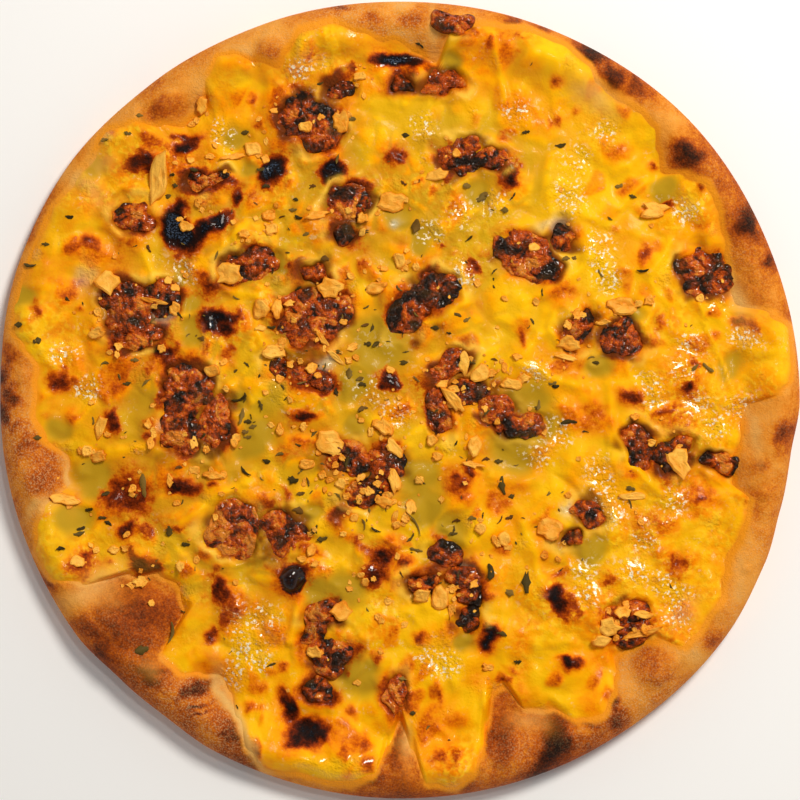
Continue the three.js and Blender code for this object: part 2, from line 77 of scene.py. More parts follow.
# The dough as it browns: (browning, colour)
DOUGH_BROWNING = [
    (0.0, (226, 168, 88)), (0.14, (232, 152, 54)), (0.28, (214, 122, 22)), (0.42, (184, 86, 6)),
    (0.56, (142, 58, 4)), (0.70, (94, 36, 4)), (0.86, (46, 19, 6)), (1.0, (20, 11, 6)),
]

# Outer edge: (angle in degrees, radius)
DOUGH_EDGE = [
    (0, 150), (20, 150), (45, 151), (70, 150), (90, 149.5), (110, 150), (128, 151),
    (145, 152.5), (160, 152), (180, 150), (200, 150), (216, 150), (225, 148.2), (233, 147.8),
    (242, 149), (270, 149.5), (300, 150), (325, 151), (336, 150), (344, 148.5), (352, 148),
]

# Crest over or under its mean height: (angle in degrees, height)
CREST_CHANGE = [
    (0, 0.5), (18, -1), (38, 1), (55, -0.5), (72, 1.5), (88, 0), (106, 1.5), (122, -0.5),
    (150, -3.2), (172, -1.5), (192, 1.5), (206, -0.5), (222, 1.5), (240, 0.5), (256, -1.5),
    (270, 1), (288, 1.5), (303, 0), (318, 1.5), (338, 0), (350, 1),
]

# Puffs on the rim: (x, y, length, width, turn in degrees, height)
PUFFS = [
    (-98, -80, 34, 27, -20, 6.4), (-133, -28, 24, 15, 75, 2.6), (-48, 127, 22, 15, 90, 3.2),
    (-86, 110, 16, 11, 40, 2.2), (106, 92, 15, 14, 0, 2.2), (95, -99, 20, 18, 0, 3.2),
    (38, -127, 22, 15, 90, 3), (-1, -131, 17, 9, 90, 2.5), (72, 129, 12, 8, -30, 1.5),
    (80, 119, 13, 9, -40, 1.8), (57, -128, 20, 13, 80, 1.6), (129, 66, 13, 10, 70, 1.6),
]

# Browned and burnt places on the rim: (x, y, length, width, turn in degrees, darkness)
RIM_SCORCHES = [
    (72, 129, 10, 6, -30, 0.9), (79, 120, 10, 8, -40, 1.0), (88, 116, 9, 7, -40, 0.85),
    (129, 67, 12, 9, 70, 1.0), (138, 52, 6, 5, 0, 0.85), (42, 141, 5, 4, 0, 0.8),
    (53, 139, 4, 3, 0, 0.8), (81, -113, 5, 4, 90, 1.3), (81, -119, 9, 8, 0, 0.95),
    (-101, -84, 38, 30, -20, 0.5),
    (57, -127, 19, 10, 75, 1.15), (-77, -108, 11, 4, 30, 1.0), (-93, -104, 10, 5, -35, 0.8),
    (-64, -124, 8, 5, -40, 0.7), (141, -13, 8, 6, 80, 0.8), (134, -24, 4, 3, 0, 0.7),
    (-145, 16, 7, 4, 90, 0.9), (-148, 9, 7, 4, 90, 1.05), (-145, 1, 10, 5, 100, 0.95),
    (-148, -6, 9, 5, 90, 1.0), (-142, -9, 5, 4, 0, 0.7), (-131, -69, 6, 4, -40, 0.75),
    (-115, -88, 17, 9, -60, 0.72), (69, -121, 10, 2, 10, 0.75),
    (-34, -141, 8, 3, 0, 0.7), (-10, -141, 7, 3, 0, 0.7), (106, 92, 10, 9, 0, 1.1),
    (94, -99, 15, 14, 0, 0.4), (-11, 142, 11, 4, 0, 0.5), (4, 142, 9, 5, 0, 0.6),
    (-48, 126, 13, 8, 90, 0.25), (-86, 110, 16, 10, 40, 0.4), (-132, -28, 19, 11, 90, 0.25),
    (-1, -129, 9, 5, 90, 0.3), (38, -126, 16, 10, 90, 0.35), (-140, -17, 6, 4, 60, 0.7),
    (116, -90, 6, 4, 0, 0.5), (-22, 146, 8, 3, 0, 0.6), (60, -117, 19, 6, -15, 0.8),
    (-94, -100, 15, 3, -20, 0.85), (-75, -113.5, 5, 0.9, 18, 1.2), (-74, -116.5, 5, 0.9, 18, 1.2),
]

# Pale places at the edge of the cheese: (x, y, length, width, turn in degrees, strength)
PALE_PLACES = [
    (127, 37, 15, 8, 100, 0.9), (72, 112, 15, 8, -35, 0.8), (-117, 79, 22, 10, -34, 0.7),
    (-134, -40, 16, 5, 35, 0.8), (-124, -29, 16, 4, 105, 0.8), (-114, -71, 30, 9, 30, 0.75),
    (-61, -119, 38, 4, -63, 1.0), (131, -13, 20, 5, 96, 0.8), (12, 139, 18, 5, 88, 0.8),
    (3, -128, 16, 5, 90, 0.8), (-76, 117, 9, 5, 30, 0.5), (48, -119, 12, 7, 0, 0.6),
    (-93, -100, 8, 6, 0, 0.4), (107, -80, 14, 5, 50, 0.5), (-112, 88, 9, 6, 0, 0.6),
]

# How brown and how floury the rim is, all the way round: (angle in degrees, browning, flour)
RIM_TONES = [
    (0, -0.05, 0.2), (12, 0.05, 0.2), (25, 0.12, 0.3), (45, 0.08, 0.2), (60, 0.12, 0.1),
    (75, 0.05, 0.1), (90, -0.04, 0.8), (100, -0.06, 0.7), (110, -0.12, 0.4), (128, -0.08, 0.3),
    (145, -0.05, 0.1), (170, 0.04, 0.3), (188, 0.10, 1.0), (200, 0.08, 0.8), (214, 0.10, 0.15),
    (226, 0.12, 0.3), (236, 0.22, 1.0), (246, 0.22, 1.0), (255, 0.06, 0.5), (270, 0.22, 0.2),
    (288, 0.32, 0.4), (300, 0.16, 0.4), (310, -0.10, 0.9), (318, -0.02, 0.6), (330, -0.02, 0.5),
    (345, 0.0, 0.4), (355, 0.10, 0.2),
]

# Outer edge of the cheese that lies on the dough: (angle in degrees, radius)
CHEESE_EDGE = [
    (1, 141), (3, 146), (6, 148), (10, 148), (13, 142), (16, 131), (22, 134), (27, 136),
    (31, 138), (35, 141), (38, 136), (41, 131), (44, 135), (47, 140), (50, 141), (54, 139),
    (58, 140), (61, 145), (65, 147), (70, 146), (75, 145), (79, 143), (82, 139), (84, 128),
    (87, 131), (92, 135), (96, 139), (100, 143), (105, 142), (108, 137), (110, 132), (113, 137),
    (116, 143), (118, 145), (121, 141), (124, 131), (128, 131), (131, 136), (134, 144),
    (138, 149), (142, 147), (146, 147), (152, 149), (166, 149), (170, 147), (172, 142),
    (175, 136), (182, 137), (186, 134), (190, 127), (194, 129), (197, 139), (200, 144),
    (203, 147), (207, 146), (210, 138), (213, 121), (216, 112), (220, 110), (224, 113),
    (227, 131), (231, 132), (234, 127), (237, 124), (240, 127), (243, 134), (247, 142),
    (250, 147), (255, 145), (262, 145), (266, 141), (268, 131), (270, 121), (272, 132),
    (274, 144), (278, 146), (281, 142), (283, 135), (285, 126), (288, 115), (290, 114),
    (292, 126), (296, 130), (299, 137), (303, 140), (306, 136), (308, 131), (310, 126),
    (314, 127), (317, 131), (319, 140), (323, 142), (328, 141), (331, 138), (334, 135),
    (338, 137), (341, 138), (344, 136), (346, 129), (350, 127), (355, 129), (359, 130),
]


def smooth(low, high, value):
    part = np.clip((value - low) / (high - low), 0, 1)
    return part * part * (3 - 2 * part)


def cell_value(column, row, seed):
    wave = np.sin(column * 127.1 + row * 311.7 + seed * 74.7) * 43758.5453
    return wave - np.floor(wave)


def unevenness(x, y, cell, seed):
    """Smooth unevenness from -1 to 1, with bumps about one cell apart."""
    column = np.floor(x / cell)
    row = np.floor(y / cell)
    across = smooth(0, 1, x / cell - column)
    along = smooth(0, 1, y / cell - row)
    low = cell_value(column, row, seed) * (1 - across) + cell_value(column + 1, row, seed) * across
    high = cell_value(column, row + 1, seed) * (1 - across) + cell_value(column + 1, row + 1, seed) * across
    return 2 * (low * (1 - along) + high * along) - 1


def waves(x, y, rows):
    """Several sizes of unevenness added up."""
    return sum(strength * unevenness(x, y, cell, seed) for strength, cell, seed in rows)


def warp(x, y, rows):
    """Places shifted by unevenness, so that an outline drawn through them comes out ragged."""
    warp_x, warp_y = x, y
    for shift, cell, seed_x, seed_y in rows:
        warp_x = warp_x + shift * unevenness(x, y, cell, seed_x)
        warp_y = warp_y + shift * unevenness(x, y, cell, seed_y)
    return warp_x, warp_y


def lumps(x, y, cell, seed):
    """Rounded lumps packed side by side: 1 on top of each, 0 in the creases, and a value for each lump."""
    column = np.floor(x / cell)
    row = np.floor(y / cell)
    nearest = np.full(np.shape(x), 9.0)
    second = np.full(np.shape(x), 9.0)
    tone = np.zeros(np.shape(x))
    for step_x in (-1, 0, 1):
        for step_y in (-1, 0, 1):
            centre_x = column + step_x + cell_value(column + step_x, row + step_y, seed)
            centre_y = row + step_y + cell_value(column + step_x, row + step_y, seed + 0.5)
            reach = np.hypot(x / cell - centre_x, y / cell - centre_y)
            closer = reach < nearest
            second = np.where(closer, nearest, np.minimum(second, reach))
            tone = np.where(closer, cell_value(column + step_x, row + step_y, seed + 0.25), tone)
            nearest = np.minimum(nearest, reach)
    return np.clip(second - nearest, 0, 1), tone


def around(table, degrees):
    """Value at an angle of a closed table of (degrees, value)."""
    angles = np.array([row[0] for row in table], float)
    values = np.array([row[1] for row in table], float)
    angles = np.concatenate([[angles[-1] - 360], angles, [angles[0] + 360]])
    values = np.concatenate([[values[-1]], values, [values[0]]])
    last = np.clip(np.searchsorted(angles, degrees, side="right") - 1, 0, len(angles) - 2)
    part = smooth(0, 1, (degrees - angles[last]) / (angles[last + 1] - angles[last]))
    return values[last] + (values[last + 1] - values[last]) * part


def degrees_at(x, y):
    return np.degrees(np.arctan2(y, x)) % 360


def oval_reach(x, y, oval):
    """How far out a point lies in an oval: 0 at its middle, 1 on its outline."""
    angle = np.radians(oval[4])
    along = (x - oval[0]) * np.cos(angle) + (y - oval[1]) * np.sin(angle)
    across = (y - oval[1]) * np.cos(angle) - (x - oval[0]) * np.sin(angle)
    return np.hypot(along / (oval[2] / 2), across / (oval[3] / 2))


def dough_inset(x, y):
    return around(DOUGH_EDGE, degrees_at(x, y)) - np.hypot(x, y)


def rim_height(inset, degrees):
    crest = CREST_HEIGHT + around(CREST_CHANGE, degrees)
    part = 1 - np.clip(inset, 0, CREST_INSET) / CREST_INSET
    outside = SIDE_HEIGHT + (crest - SIDE_HEIGHT) * np.sqrt(1 - part * part)
    inside = BASE_TOP + (crest - BASE_TOP) * (1 - smooth(CREST_INSET, RIM_INSET, inset))
    return np.where(inset < CREST_INSET, outside, inside)


def puff_height(x, y):
    tallest = np.zeros(np.shape(x))
    for puff in PUFFS:
        reach = np.minimum(1, oval_reach(x, y, puff))
        tallest = np.maximum(tallest, puff[5] * (1 - reach * reach) ** PUFF_SHARPNESS)
    return tallest


def dough_top(x, y):
    inset = dough_inset(x, y)
    on_rim = 1 - smooth(RIM_INSET - RIM_BLEND, RIM_INSET + RIM_BLEND, inset)
    from_edge = smooth(0, CREST_INSET, inset)
    ripple = on_rim * from_edge * waves(x, y, RIM_RIPPLES)
    height = rim_height(inset, degrees_at(x, y)) + from_edge * puff_height(x, y) + ripple
    over = np.clip(height - TALL, 0, None)
    return np.minimum(height, TALL) + TALL_ROOM * (1 - np.exp(-over / TALL_ROOM))


def dough_skin(x, y):
    """Fine relief of the baked skin: small blisters, and wrinkles between them."""
    blister, tone = lumps(x, y, 5.5, 21)
    raised = 0.55 * smooth(0.15, 0.7, blister) * smooth(0.62, 0.8, tone)
    return raised + waves(x, y, SKIN_WRINKLES)


def marks(x, y, ovals, softness, share):
    """Strength of the strongest mark of a table of ovals, fading out past each outline.

    The fade is softness wide, and wider by a share of the oval's mean radius. The bends of the
    outline grow with the oval.
    """
    strongest = np.zeros(np.shape(x))
    for oval in ovals:
        near = np.hypot(x - oval[0], y - oval[1]) < oval[2] + 9
        radius = (oval[2] + oval[3]) / 4
        bends = (0.42 * radius + 0.4, 1.2 * radius + 1.2, 31, 33)
        reach = oval_reach(*warp(x[near], y[near], [bends, MARK_RAGGEDNESS]), oval)
        fade = 1 / (1 + np.exp((reach - 1) * radius / (softness + share * radius)))
        strongest[near] = np.maximum(strongest[near], oval[5] * fade)
    return strongest


def cheese_edge(degrees):
    """Radius of the cheese's outline, with the small lobes that it ran out in."""
    x, y = LOBE_CIRCLE * np.cos(np.radians(degrees)), LOBE_CIRCLE * np.sin(np.radians(degrees))
    wanted = around(CHEESE_EDGE, degrees) + waves(x, y, EDGE_LOBES)
    return np.minimum(wanted, around(DOUGH_EDGE, degrees) - CHEESE_MARGIN)


def add_piece(name, points, face_groups, fields, map_groups, material):
    """A mesh object from points in millimetres, with a value for each point in each named field.

    Each group of faces has its own flat map: a place on the map for each point.
    """
    mesh = bpy.data.meshes.new(name)
    corners = np.concatenate([group.ravel() for group in face_groups]).astype(np.int32)
    sides = np.concatenate([np.full(len(group), group.shape[1]) for group in face_groups])
    starts = np.concatenate([[0], np.cumsum(sides)[:-1]]).astype(np.int32)
    mesh.vertices.add(len(points))
    mesh.vertices.foreach_set("co", (np.asarray(points) * MM).astype(np.float32).ravel())
    mesh.loops.add(len(corners))
    mesh.loops.foreach_set("vertex_index", corners)
    mesh.polygons.add(len(sides))
    mesh.polygons.foreach_set("loop_start", starts)
    mesh.update(calc_edges=True)
    mesh.shade_smooth()
    for field, values in fields.items():
        made = mesh.attributes.new(field, "FLOAT", "POINT")
        made.data.foreach_set("value", np.asarray(values, np.float32))
    layer = mesh.uv_layers.new(name="OFBake")
    places = [flat[group.ravel()] for group, flat in zip(face_groups, map_groups)]
    layer.data.foreach_set("uv", np.concatenate(places).astype(np.float32).ravel())
    mesh.materials.append(material)
    piece = bpy.data.objects.new(name, mesh)
    bpy.context.scene.collection.objects.link(piece)
    return piece


def ring_quads(rings, count, first):
    """Quads between rings of points that follow each other, each ring closed on itself."""
    ring = np.arange(rings - 1)[:, None] * count + first
    step = np.arange(count)[None, :]
    ahead = (step + 1) % count
    quads = np.stack([ring + step, ring + ahead, ring + count + ahead, ring + count + step], axis=-1)
    return quads.reshape(-1, 4)


def fan(centre, ring_start, count, upward):
    """Triangles between a middle point and a ring."""
    step = np.arange(count)
    ahead = (step + 1) % count
    middle = np.full(count, centre)
    if upward:
        return np.stack([middle, ring_start + step, ring_start + ahead], axis=-1)
    return np.stack([middle, ring_start + ahead, ring_start + step], axis=-1)


def disc_map(points, reach, centre, radius):
    """Lays points out on a disc: by their direction from the middle, and by a reach from 0 to 1."""
    angle = np.arctan2(points[:, 1], points[:, 0])
    across, along = radius * reach * np.cos(angle), radius * reach * np.sin(angle)
    return np.stack([centre[0] + across, centre[1] + along], axis=-1)


def srgb(colour):
    """A colour as seen, 0 to 255 a channel, as linear light."""
    seen = np.array(colour) / 255
    light = np.where(seen <= 0.04045, seen / 12.92, ((seen + 0.055) / 1.055) ** 2.4)
    return (*light, 1.0)


def add_node(tree, kind, inputs=None, **settings):
    """A node with its settings, and with each input linked to a socket or set to a value."""
    made = tree.nodes.new(kind)
    for key, value in settings.items():
        setattr(made, key, value)
    for key, value in (inputs or {}).items():
        if isinstance(value, bpy.types.NodeSocket):
            tree.links.new(value, made.inputs[key])
        else:
            made.inputs[key].default_value = value
    return made


def field_value(tree, name):
    return add_node(tree, "ShaderNodeAttribute", attribute_name=name).outputs["Fac"]


def calculate(tree, operation, first, second):
    return add_node(tree, "ShaderNodeMath", {0: first, 1: second}, operation=operation).outputs[0]


def colour_ramp(tree, value, stops):
    """Colours along a value: stops is a list of (position, colour as seen)."""
    made = add_node(tree, "ShaderNodeValToRGB", {"Fac": value})
    while len(made.color_ramp.elements) < len(stops):
        made.color_ramp.elements.new(0.5)
    for element, (position, colour) in zip(made.color_ramp.elements, stops):
        element.position = position
        element.color = srgb(colour)
    return made.outputs["Color"]


def mix_colours(tree, share, first, second):
    """A share of the second colour over the first. The sockets of a colour mix are 0, 6, 7 and 2."""
    return add_node(tree, "ShaderNodeMix", {0: share, 6: first, 7: second}, data_type="RGBA").outputs[2]


def spread(tree, value, low, high, to_low=0.0, to_high=1.0):
    """Runs smoothly from to_low to to_high while the value goes from low to high."""
    inputs = {"Value": value, "From Min": low, "From Max": high, "To Min": to_low, "To Max": to_high}
    made = add_node(tree, "ShaderNodeMapRange", inputs, interpolation_type="SMOOTHSTEP")
    return made.outputs["Result"]


def new_group(name, inputs, outputs):
    """An effect that several materials use. Each input is (name, value), and outputs are names."""
    tree = bpy.data.node_groups.new(name, "ShaderNodeTree")
    for label, value in inputs:
        socket = tree.interface.new_socket(label, in_out="INPUT", socket_type="NodeSocketFloat")
        socket.default_value = value
    for label in outputs:
        tree.interface.new_socket(label, in_out="OUTPUT", socket_type="NodeSocketFloat")
    start = tree.nodes.new("NodeGroupInput")
    end = tree.nodes.new("NodeGroupOutput")
    return tree, start.outputs, end.inputs


def make_ragged_edge():
    """Breaks the soft edge of a browned place into the uneven one that heat leaves.

    The unevenness grows with the browning, so that fresh places stay smooth.
    """
    tree, given, result = new_group(
        "ragged_edge", [("Field", 0.0), ("Grain", 1000.0), ("Unevenness", 0.2)], ["Field"])
    place = add_node(tree, "ShaderNodeTexCoord").outputs["Object"]
    noise = add_node(tree, "ShaderNodeTexNoise", {"Vector": place, "Scale": given["Grain"], "Detail": 4.0})
    centred = calculate(tree, "SUBTRACT", noise.outputs["Fac"], 0.5)
    browned = spread(tree, given["Field"], 0.08, 0.5, 0.14, 1.0)
    amount = calculate(tree, "MULTIPLY", given["Unevenness"], browned)
    change = calculate(tree, "MULTIPLY", centred, amount)
    tree.links.new(calculate(tree, "ADD", given["Field"], change), result["Field"])
    return tree


def make_specks():
    """Small separate specks: a mask that is 1 on them."""
    tree, given, result = new_group(
        "specks", [("Grain", 1000.0), ("Cover", 0.5), ("Softness", 0.08)], ["Mask"])
    place = add_node(tree, "ShaderNodeTexCoord").outputs["Object"]
    noise = add_node(tree, "ShaderNodeTexNoise", {"Vector": place, "Scale": given["Grain"], "Detail": 2.0})
    low = calculate(tree, "SUBTRACT", given["Cover"], given["Softness"])
    tree.links.new(spread(tree, noise.outputs["Fac"], low, given["Cover"]), result["Mask"])
    return tree


def make_fine_relief():
    """Height of a rough surface, from coarse and fine bumps."""
    tree, given, result = new_group(
        "fine_relief", [("Coarse", 400.0), ("Fine", 1500.0), ("Fine Share", 0.3)], ["Height"])
    place = add_node(tree, "ShaderNodeTexCoord").outputs["Object"]
    noise = "ShaderNodeTexNoise"
    coarse = add_node(tree, noise, {"Vector": place, "Scale": given["Coarse"], "Detail": 3.0})
    fine = add_node(tree, noise, {"Vector": place, "Scale": given["Fine"], "Detail": 2.0})
    fine_part = calculate(tree, "MULTIPLY", fine.outputs["Fac"], given["Fine Share"])
    tree.links.new(calculate(tree, "ADD", coarse.outputs["Fac"], fine_part), result["Height"])
    return tree


ragged_edge = make_ragged_edge()
specks = make_specks()
fine_relief = make_fine_relief()


def roughen(tree, field, grain, share):
    inputs = {"Field": field, "Grain": grain, "Unevenness": share}
    return add_node(tree, "ShaderNodeGroup", inputs, node_tree=ragged_edge).outputs["Field"]


def speck_mask(tree, grain, cover, softness):
    inputs = {"Grain": grain, "Cover": cover, "Softness": softness}
    return add_node(tree, "ShaderNodeGroup", inputs, node_tree=specks).outputs["Mask"]


def relief_height(tree, coarse, fine, fine_share):
    inputs = {"Coarse": coarse, "Fine": fine, "Fine Share": fine_share}
    return add_node(tree, "ShaderNodeGroup", inputs, node_tree=fine_relief).outputs["Height"]


def new_material(name):
    material = bpy.data.materials.new(name)
    material.use_nodes = True
    tree = material.node_tree
    tree.nodes.clear()
    shader = add_node(tree, "ShaderNodeBsdfPrincipled")
    output = add_node(tree, "ShaderNodeOutputMaterial")
    tree.links.new(shader.outputs[0], output.inputs["Surface"])
    return material, tree, shader


def add_bump(tree, shader, height, distance, strength):
    bump = add_node(tree, "ShaderNodeBump", {"Height": height, "Distance": distance, "Strength": strength})
    tree.links.new(bump.outputs["Normal"], shader.inputs["Normal"])


def make_dough_material():
    material, tree, shader = new_material("baked_dough")
    toast = field_value(tree, "toast")
    rough_toast = roughen(tree, roughen(tree, toast, 420.0, 0.45), 1250.0, 0.6)
    colour = colour_ramp(tree, calculate(tree, "MULTIPLY", rough_toast, 0.8), DOUGH_BROWNING)
    flour = speck_mask(tree, 1500.0, 0.66, 0.2)
    floury = calculate(tree, "MULTIPLY", flour, field_value(tree, "flour"))
    floury = calculate(tree, "MULTIPLY", floury, spread(tree, toast, 0.6, 1.0, 1, 0.3))
    colour = mix_colours(tree, calculate(tree, "MULTIPLY", floury, 0.46), colour, srgb(FLOUR))
    cream = field_value(tree, "cream")
    beside = mix_colours(tree, field_value(tree, "oiled"), srgb(CREAM), srgb(OILED))
    colour = mix_colours(tree, cream, colour, beside)
    tree.links.new(colour, shader.inputs["Base Color"])
    tree.links.new(spread(tree, cream, 0, 1, 0.72, 0.4), shader.inputs["Roughness"])
    height = relief_height(tree, 700.0, 1900.0, 0.6)
    height = calculate(tree, "ADD", height, calculate(tree, "MULTIPLY", flour, 0.25))
    add_bump(tree, shader, height, 0.0006, 0.6)
    shader.inputs["Specular IOR Level"].default_value = 0.12
    return material


def pale_share(x, y):
    """Where the dough and the cheese edge stayed pale, from 0 to 1."""
    return marks(x, y, PALE_PLACES, 0.5, 0.3)


def dough_points():
    """Rings of points from the edge of the flat underside, up the side and in over the top."""
    top_insets = np.concatenate([np.linspace(*RIM_RING_INSETS), np.linspace(*INNER_RING_INSETS)])
    degrees = np.arange(DOUGH_SPOKES) * 360 / DOUGH_SPOKES
    edge = around(DOUGH_EDGE, degrees) - DOUGH_SKIN_GAP
    cos, sin = np.cos(np.radians(degrees)), np.sin(np.radians(degrees))
    rings = []
    for inset, height in UNDERSIDE_RINGS:
        radius = edge - inset
        rings.append(np.stack([radius * cos, radius * sin, np.full(DOUGH_SPOKES, float(height))], axis=-1))
    for inset in top_insets:
        x, y = (edge - inset) * cos, (edge - inset) * sin
        bare = smooth(-0.5, 2.5, edge - inset - cheese_edge(degrees)) * smooth(0, 4, inset)
        rings.append(np.stack([x, y, dough_top(x, y) + dough_skin(x, y) * bare], axis=-1))
    return rings


def dough_fields(x, y, z):
    """How browned, pale, floury and oiled the dough is at each point."""
    degrees, inset = degrees_at(x, y), dough_inset(x, y)
    outside_cheese = np.hypot(x, y) - cheese_edge(degrees)
    on_side = 1 - smooth(0, 7, inset)
    toast = 0.24 + 0.24 * waves(x, y, DOUGH_PATCHES) + 0.10 * on_side
    toast += 0.14 * smooth(0.0, 0.6, unevenness(x, y, 13, 48))
    toast += 0.10 * smooth(0.5, 1.6, puff_height(x, y))
    toast += around([row[:2] for row in RIM_TONES], degrees)
    scorch = marks(x, y, RIM_SCORCHES, 0.4, 0.22)
    toast = toast + 0.72 * scorch * (1 - 0.45 * toast)
    baked_floor = 0.3 + 0.5 * smooth(0.1, 0.9, unevenness(x, y, 9, 44)) + 0.1 * unevenness(x, y, 3, 45)
    toast = np.where(z < STONE_HEIGHT, baked_floor, toast)
    cream_width = CREAM_WIDTH + 1.6 * unevenness(x, y, 14, 46)
    cream = 1 - smooth(0.1, 1, np.clip(outside_cheese, 0, None) / cream_width)
    cream *= 1 - 0.7 * smooth(0.3, 0.8, scorch) * smooth(0.3, 1.5, outside_cheese)
    pale = pale_share(x, y)
    flour = around([(row[0], row[2]) for row in RIM_TONES], degrees) + 0.3 * unevenness(x, y, 9, 47)
    return {
        "toast": toast, "cream": np.clip(np.maximum(cream, pale), 0, 1), "flour": np.clip(flour, 0, 1),
        "oiled": 1 - pale,
    }


def make_dough():
    rings = dough_points()
    points = np.concatenate([[[0, 0, 0]], *rings, [[0, 0, BASE_TOP]]])
    last = len(points) - 1
    faces = [
        ring_quads(len(rings), DOUGH_SPOKES, 1),
        fan(last, last - DOUGH_SPOKES, DOUGH_SPOKES, upward=True),
        fan(0, 1, DOUGH_SPOKES, upward=False),
    ]
    ring_number = np.concatenate([[0], np.repeat(np.arange(len(rings)), DOUGH_SPOKES), [0]])
    reach = np.hypot(points[:, 0], points[:, 1]) / WHOLE_REACH
    # On the flat map the side is a narrow band round the top
    top_reach = np.where(ring_number < len(UNDERSIDE_RINGS), 1 - 0.012 * ring_number, reach * 0.92)
    top_map = disc_map(points, top_reach, (0.37, 0.37), 0.36)
    under_map = disc_map(points, reach, (0.85, 0.85), 0.14)
    piece = add_piece("crust_dough", points, faces, dough_fields(*points.T), [top_map, top_map, under_map],
                      make_dough_material())
    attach(piece, "root")
    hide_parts("crust")


make_dough()

# ==== The cheese =========================================================================
# One sheet of grated yellow cheese, melted and run together. It laps onto the rim in lobes,
# heaps up round the steak, runs thin and oily in places, and blisters brown where it boiled.

CHEESE_THICKNESS = 3.4
CHEESE_EDGE_THICKNESS = -0.35  # its edge sinks into the dough's skin
CHEESE_EDGE_ROUNDING = 8  # how far in from its edge the cheese reaches full thickness
CHEESE_MEAN_RADIUS = 133
CHEESE_FOOT = 3  # height of its hidden underside
CHEESE_RINGS = 178
POOL_DEPTH = 1.3
PILLOW_HEIGHT = 1.5
SMALL_PILLOW_HEIGHT = 0.5
CREASE_DEPTH = 1.0
STRAND_HEIGHT = 1.1
BLISTER_HEIGHT = 0.8
BUBBLE = (-40, -67, 10, 9, 80)  # one big burnt bubble: x, y, length, width, turn in degrees
BUBBLE_HEIGHT = 2.6
LIP_HEIGHT = 1.5  # heaped round each piece of steak
LIP_OFFSET = 3.2
LIP_WIDTH = 2.6
UNDER_STEAK = 0.7  # thickness left under a piece of steak
GLINT_RADIUS = 5.0
PALE_WIDTH = 2.6  # mean width of the pale line along its edge

# Unevenness: (strength, distance between bumps, seed)
CHEESE_LUMPS = [(0.9, 17, 3), (0.7, 8, 4)]
SHRED_PLACES = [(0.7, 26, 93), (0.4, 9, 94)]
SHRED_BUMPS = [(0.26, 4.2, 62), (0.14, 2.2, 63)]
CHEESE_PATCHES = [(0.6, 15, 71), (0.4, 6.5, 72), (0.15, 3, 73)]

# Raggedness of outlines: (shift, distance between bends, seed along x, seed along y)
STEAK_RAGGEDNESS = [(2.2, 6.5, 51, 53), (1.0, 2.8, 52, 54)]
POOL_RAGGEDNESS = [(2.2, 9, 55, 57), (0.8, 3.5, 56, 58)]
PILLOW_RAGGEDNESS = [(3.0, 12, 59, 64), (1.2, 5, 60, 65)]
STRAND_RAGGEDNESS = [(1.6, 9, 106, 107)]

# Colours as seen, 0 to 255 a channel
DEEP_YELLOW_AND_SHADE = (238, 144, 2)  # between the shreds: a deeper tone, with painted shade there too
BRIGHT_YELLOW_AND_HIGHLIGHT = (255, 200, 34)  # on the raised shreds: a paler tone, with painted highlight there too
# Thin cheese in the pools, and the same colour painted as shade in the creases between the pillows
THIN_CHEESE_AND_SHADE = (184, 145, 28)
# Painted sheen: a blue-grey reflection painted in specks over the burnt places
PAINTED_CHAR_SHEEN = (76, 92, 116)
CREAMY_LIP = (255, 202, 70)
MEAT_JUICE = (104, 48, 12)
SET_FAT = (212, 200, 162)
# Painted glints: pale specks painted into the colour where the cheese glints
PAINTED_GLINT = (255, 240, 204)

# The cheese as it browns: (browning, colour)
CHEESE_BROWNING = [
    (0.0, (255, 193, 8)), (0.10, (255, 173, 0)), (0.24, (246, 138, 0)), (0.38, (212, 98, 0)),
    (0.52, (160, 60, 2)), (0.66, (98, 30, 2)), (0.82, (42, 14, 4)), (1.0, (10, 8, 10)),
]

# Where it has run thin: (x, y, radius)
POOLS = [
    (-116, 88, 5), (-61, 98, 5), (-57, 86, 4), (-45, 50, 4), (-8, 19, 14), (-18, 6, 8),
    (-16, -10, 5), (-53, -12, 8), (-57, -18, 7), (-60, 0, 5), (-32, -44, 4), (8, -30, 8),
    (9, -40, 8), (19, -49, 7), (42, -18, 10), (47, 0, 9), (52, -11, 7), (25, -91, 5),
    (-16, -104, 9), (-30, -72, 6), (-21, -71, 8), (-12, -100, 4), (19, 125, 4), (98, 79, 6),
    (123, 12, 5), (71, -56, 6), (-114, -29, 8), (-122, -45, 6), (-128, -11, 6), (-142, 38, 5),
    (0, 67, 6), (8, 60, 5), (28, 79, 6), (86, 34, 5), (75, 13, 5), (-82, 45, 4), (-80, 35, 4),
    (-79, 25, 5),
]

# Strands that the cheese drew out in, each along a few points: (width, x, y, x, y, ...)
STRANDS = [
    (3.2, 45, 37, 58, 42, 71, 52), (2.6, 23, 49, 24, 36, 14, 30, 0, 27),
    (3.0, 78, 4, 82, -14, 86, -24, 96, -33), (2.8, -1, -66, 8, -60, 16, -55),
    (3.2, 0, -79, 12, -76, 24, -85), (3.2, 46, -46, 51, -58, 54, -70),
    (3.6, -109, -21, -94, -17, -85, -23), (3.6, -82, -46, -69, -37, -57, -31),
    (3.4, -37, -75, -40, -88, -51, -97), (2.6, -16, -40, -10, -48, -1, -53),
    (3.0, -78, 51, -68, 56, -58, 67), (3.6, -76, 55, -67, 44, -55, 38), (2.6, -95, 55, -93, 43),
    (2.8, -55, 35, -51, 20), (2.6, 35, 137, 38, 124, 39, 113), (2.6, 81, 73, 92, 82, 104, 86),
    (1.6, 112, 36, 119, 20, 125, 2), (2.6, 32, -109, 31, -122, 29, -131),
    (2.8, 100, 60, 92, 46, 98, 36), (2.8, 52, 25, 44, 14, 56, 8, 66, 6),
]

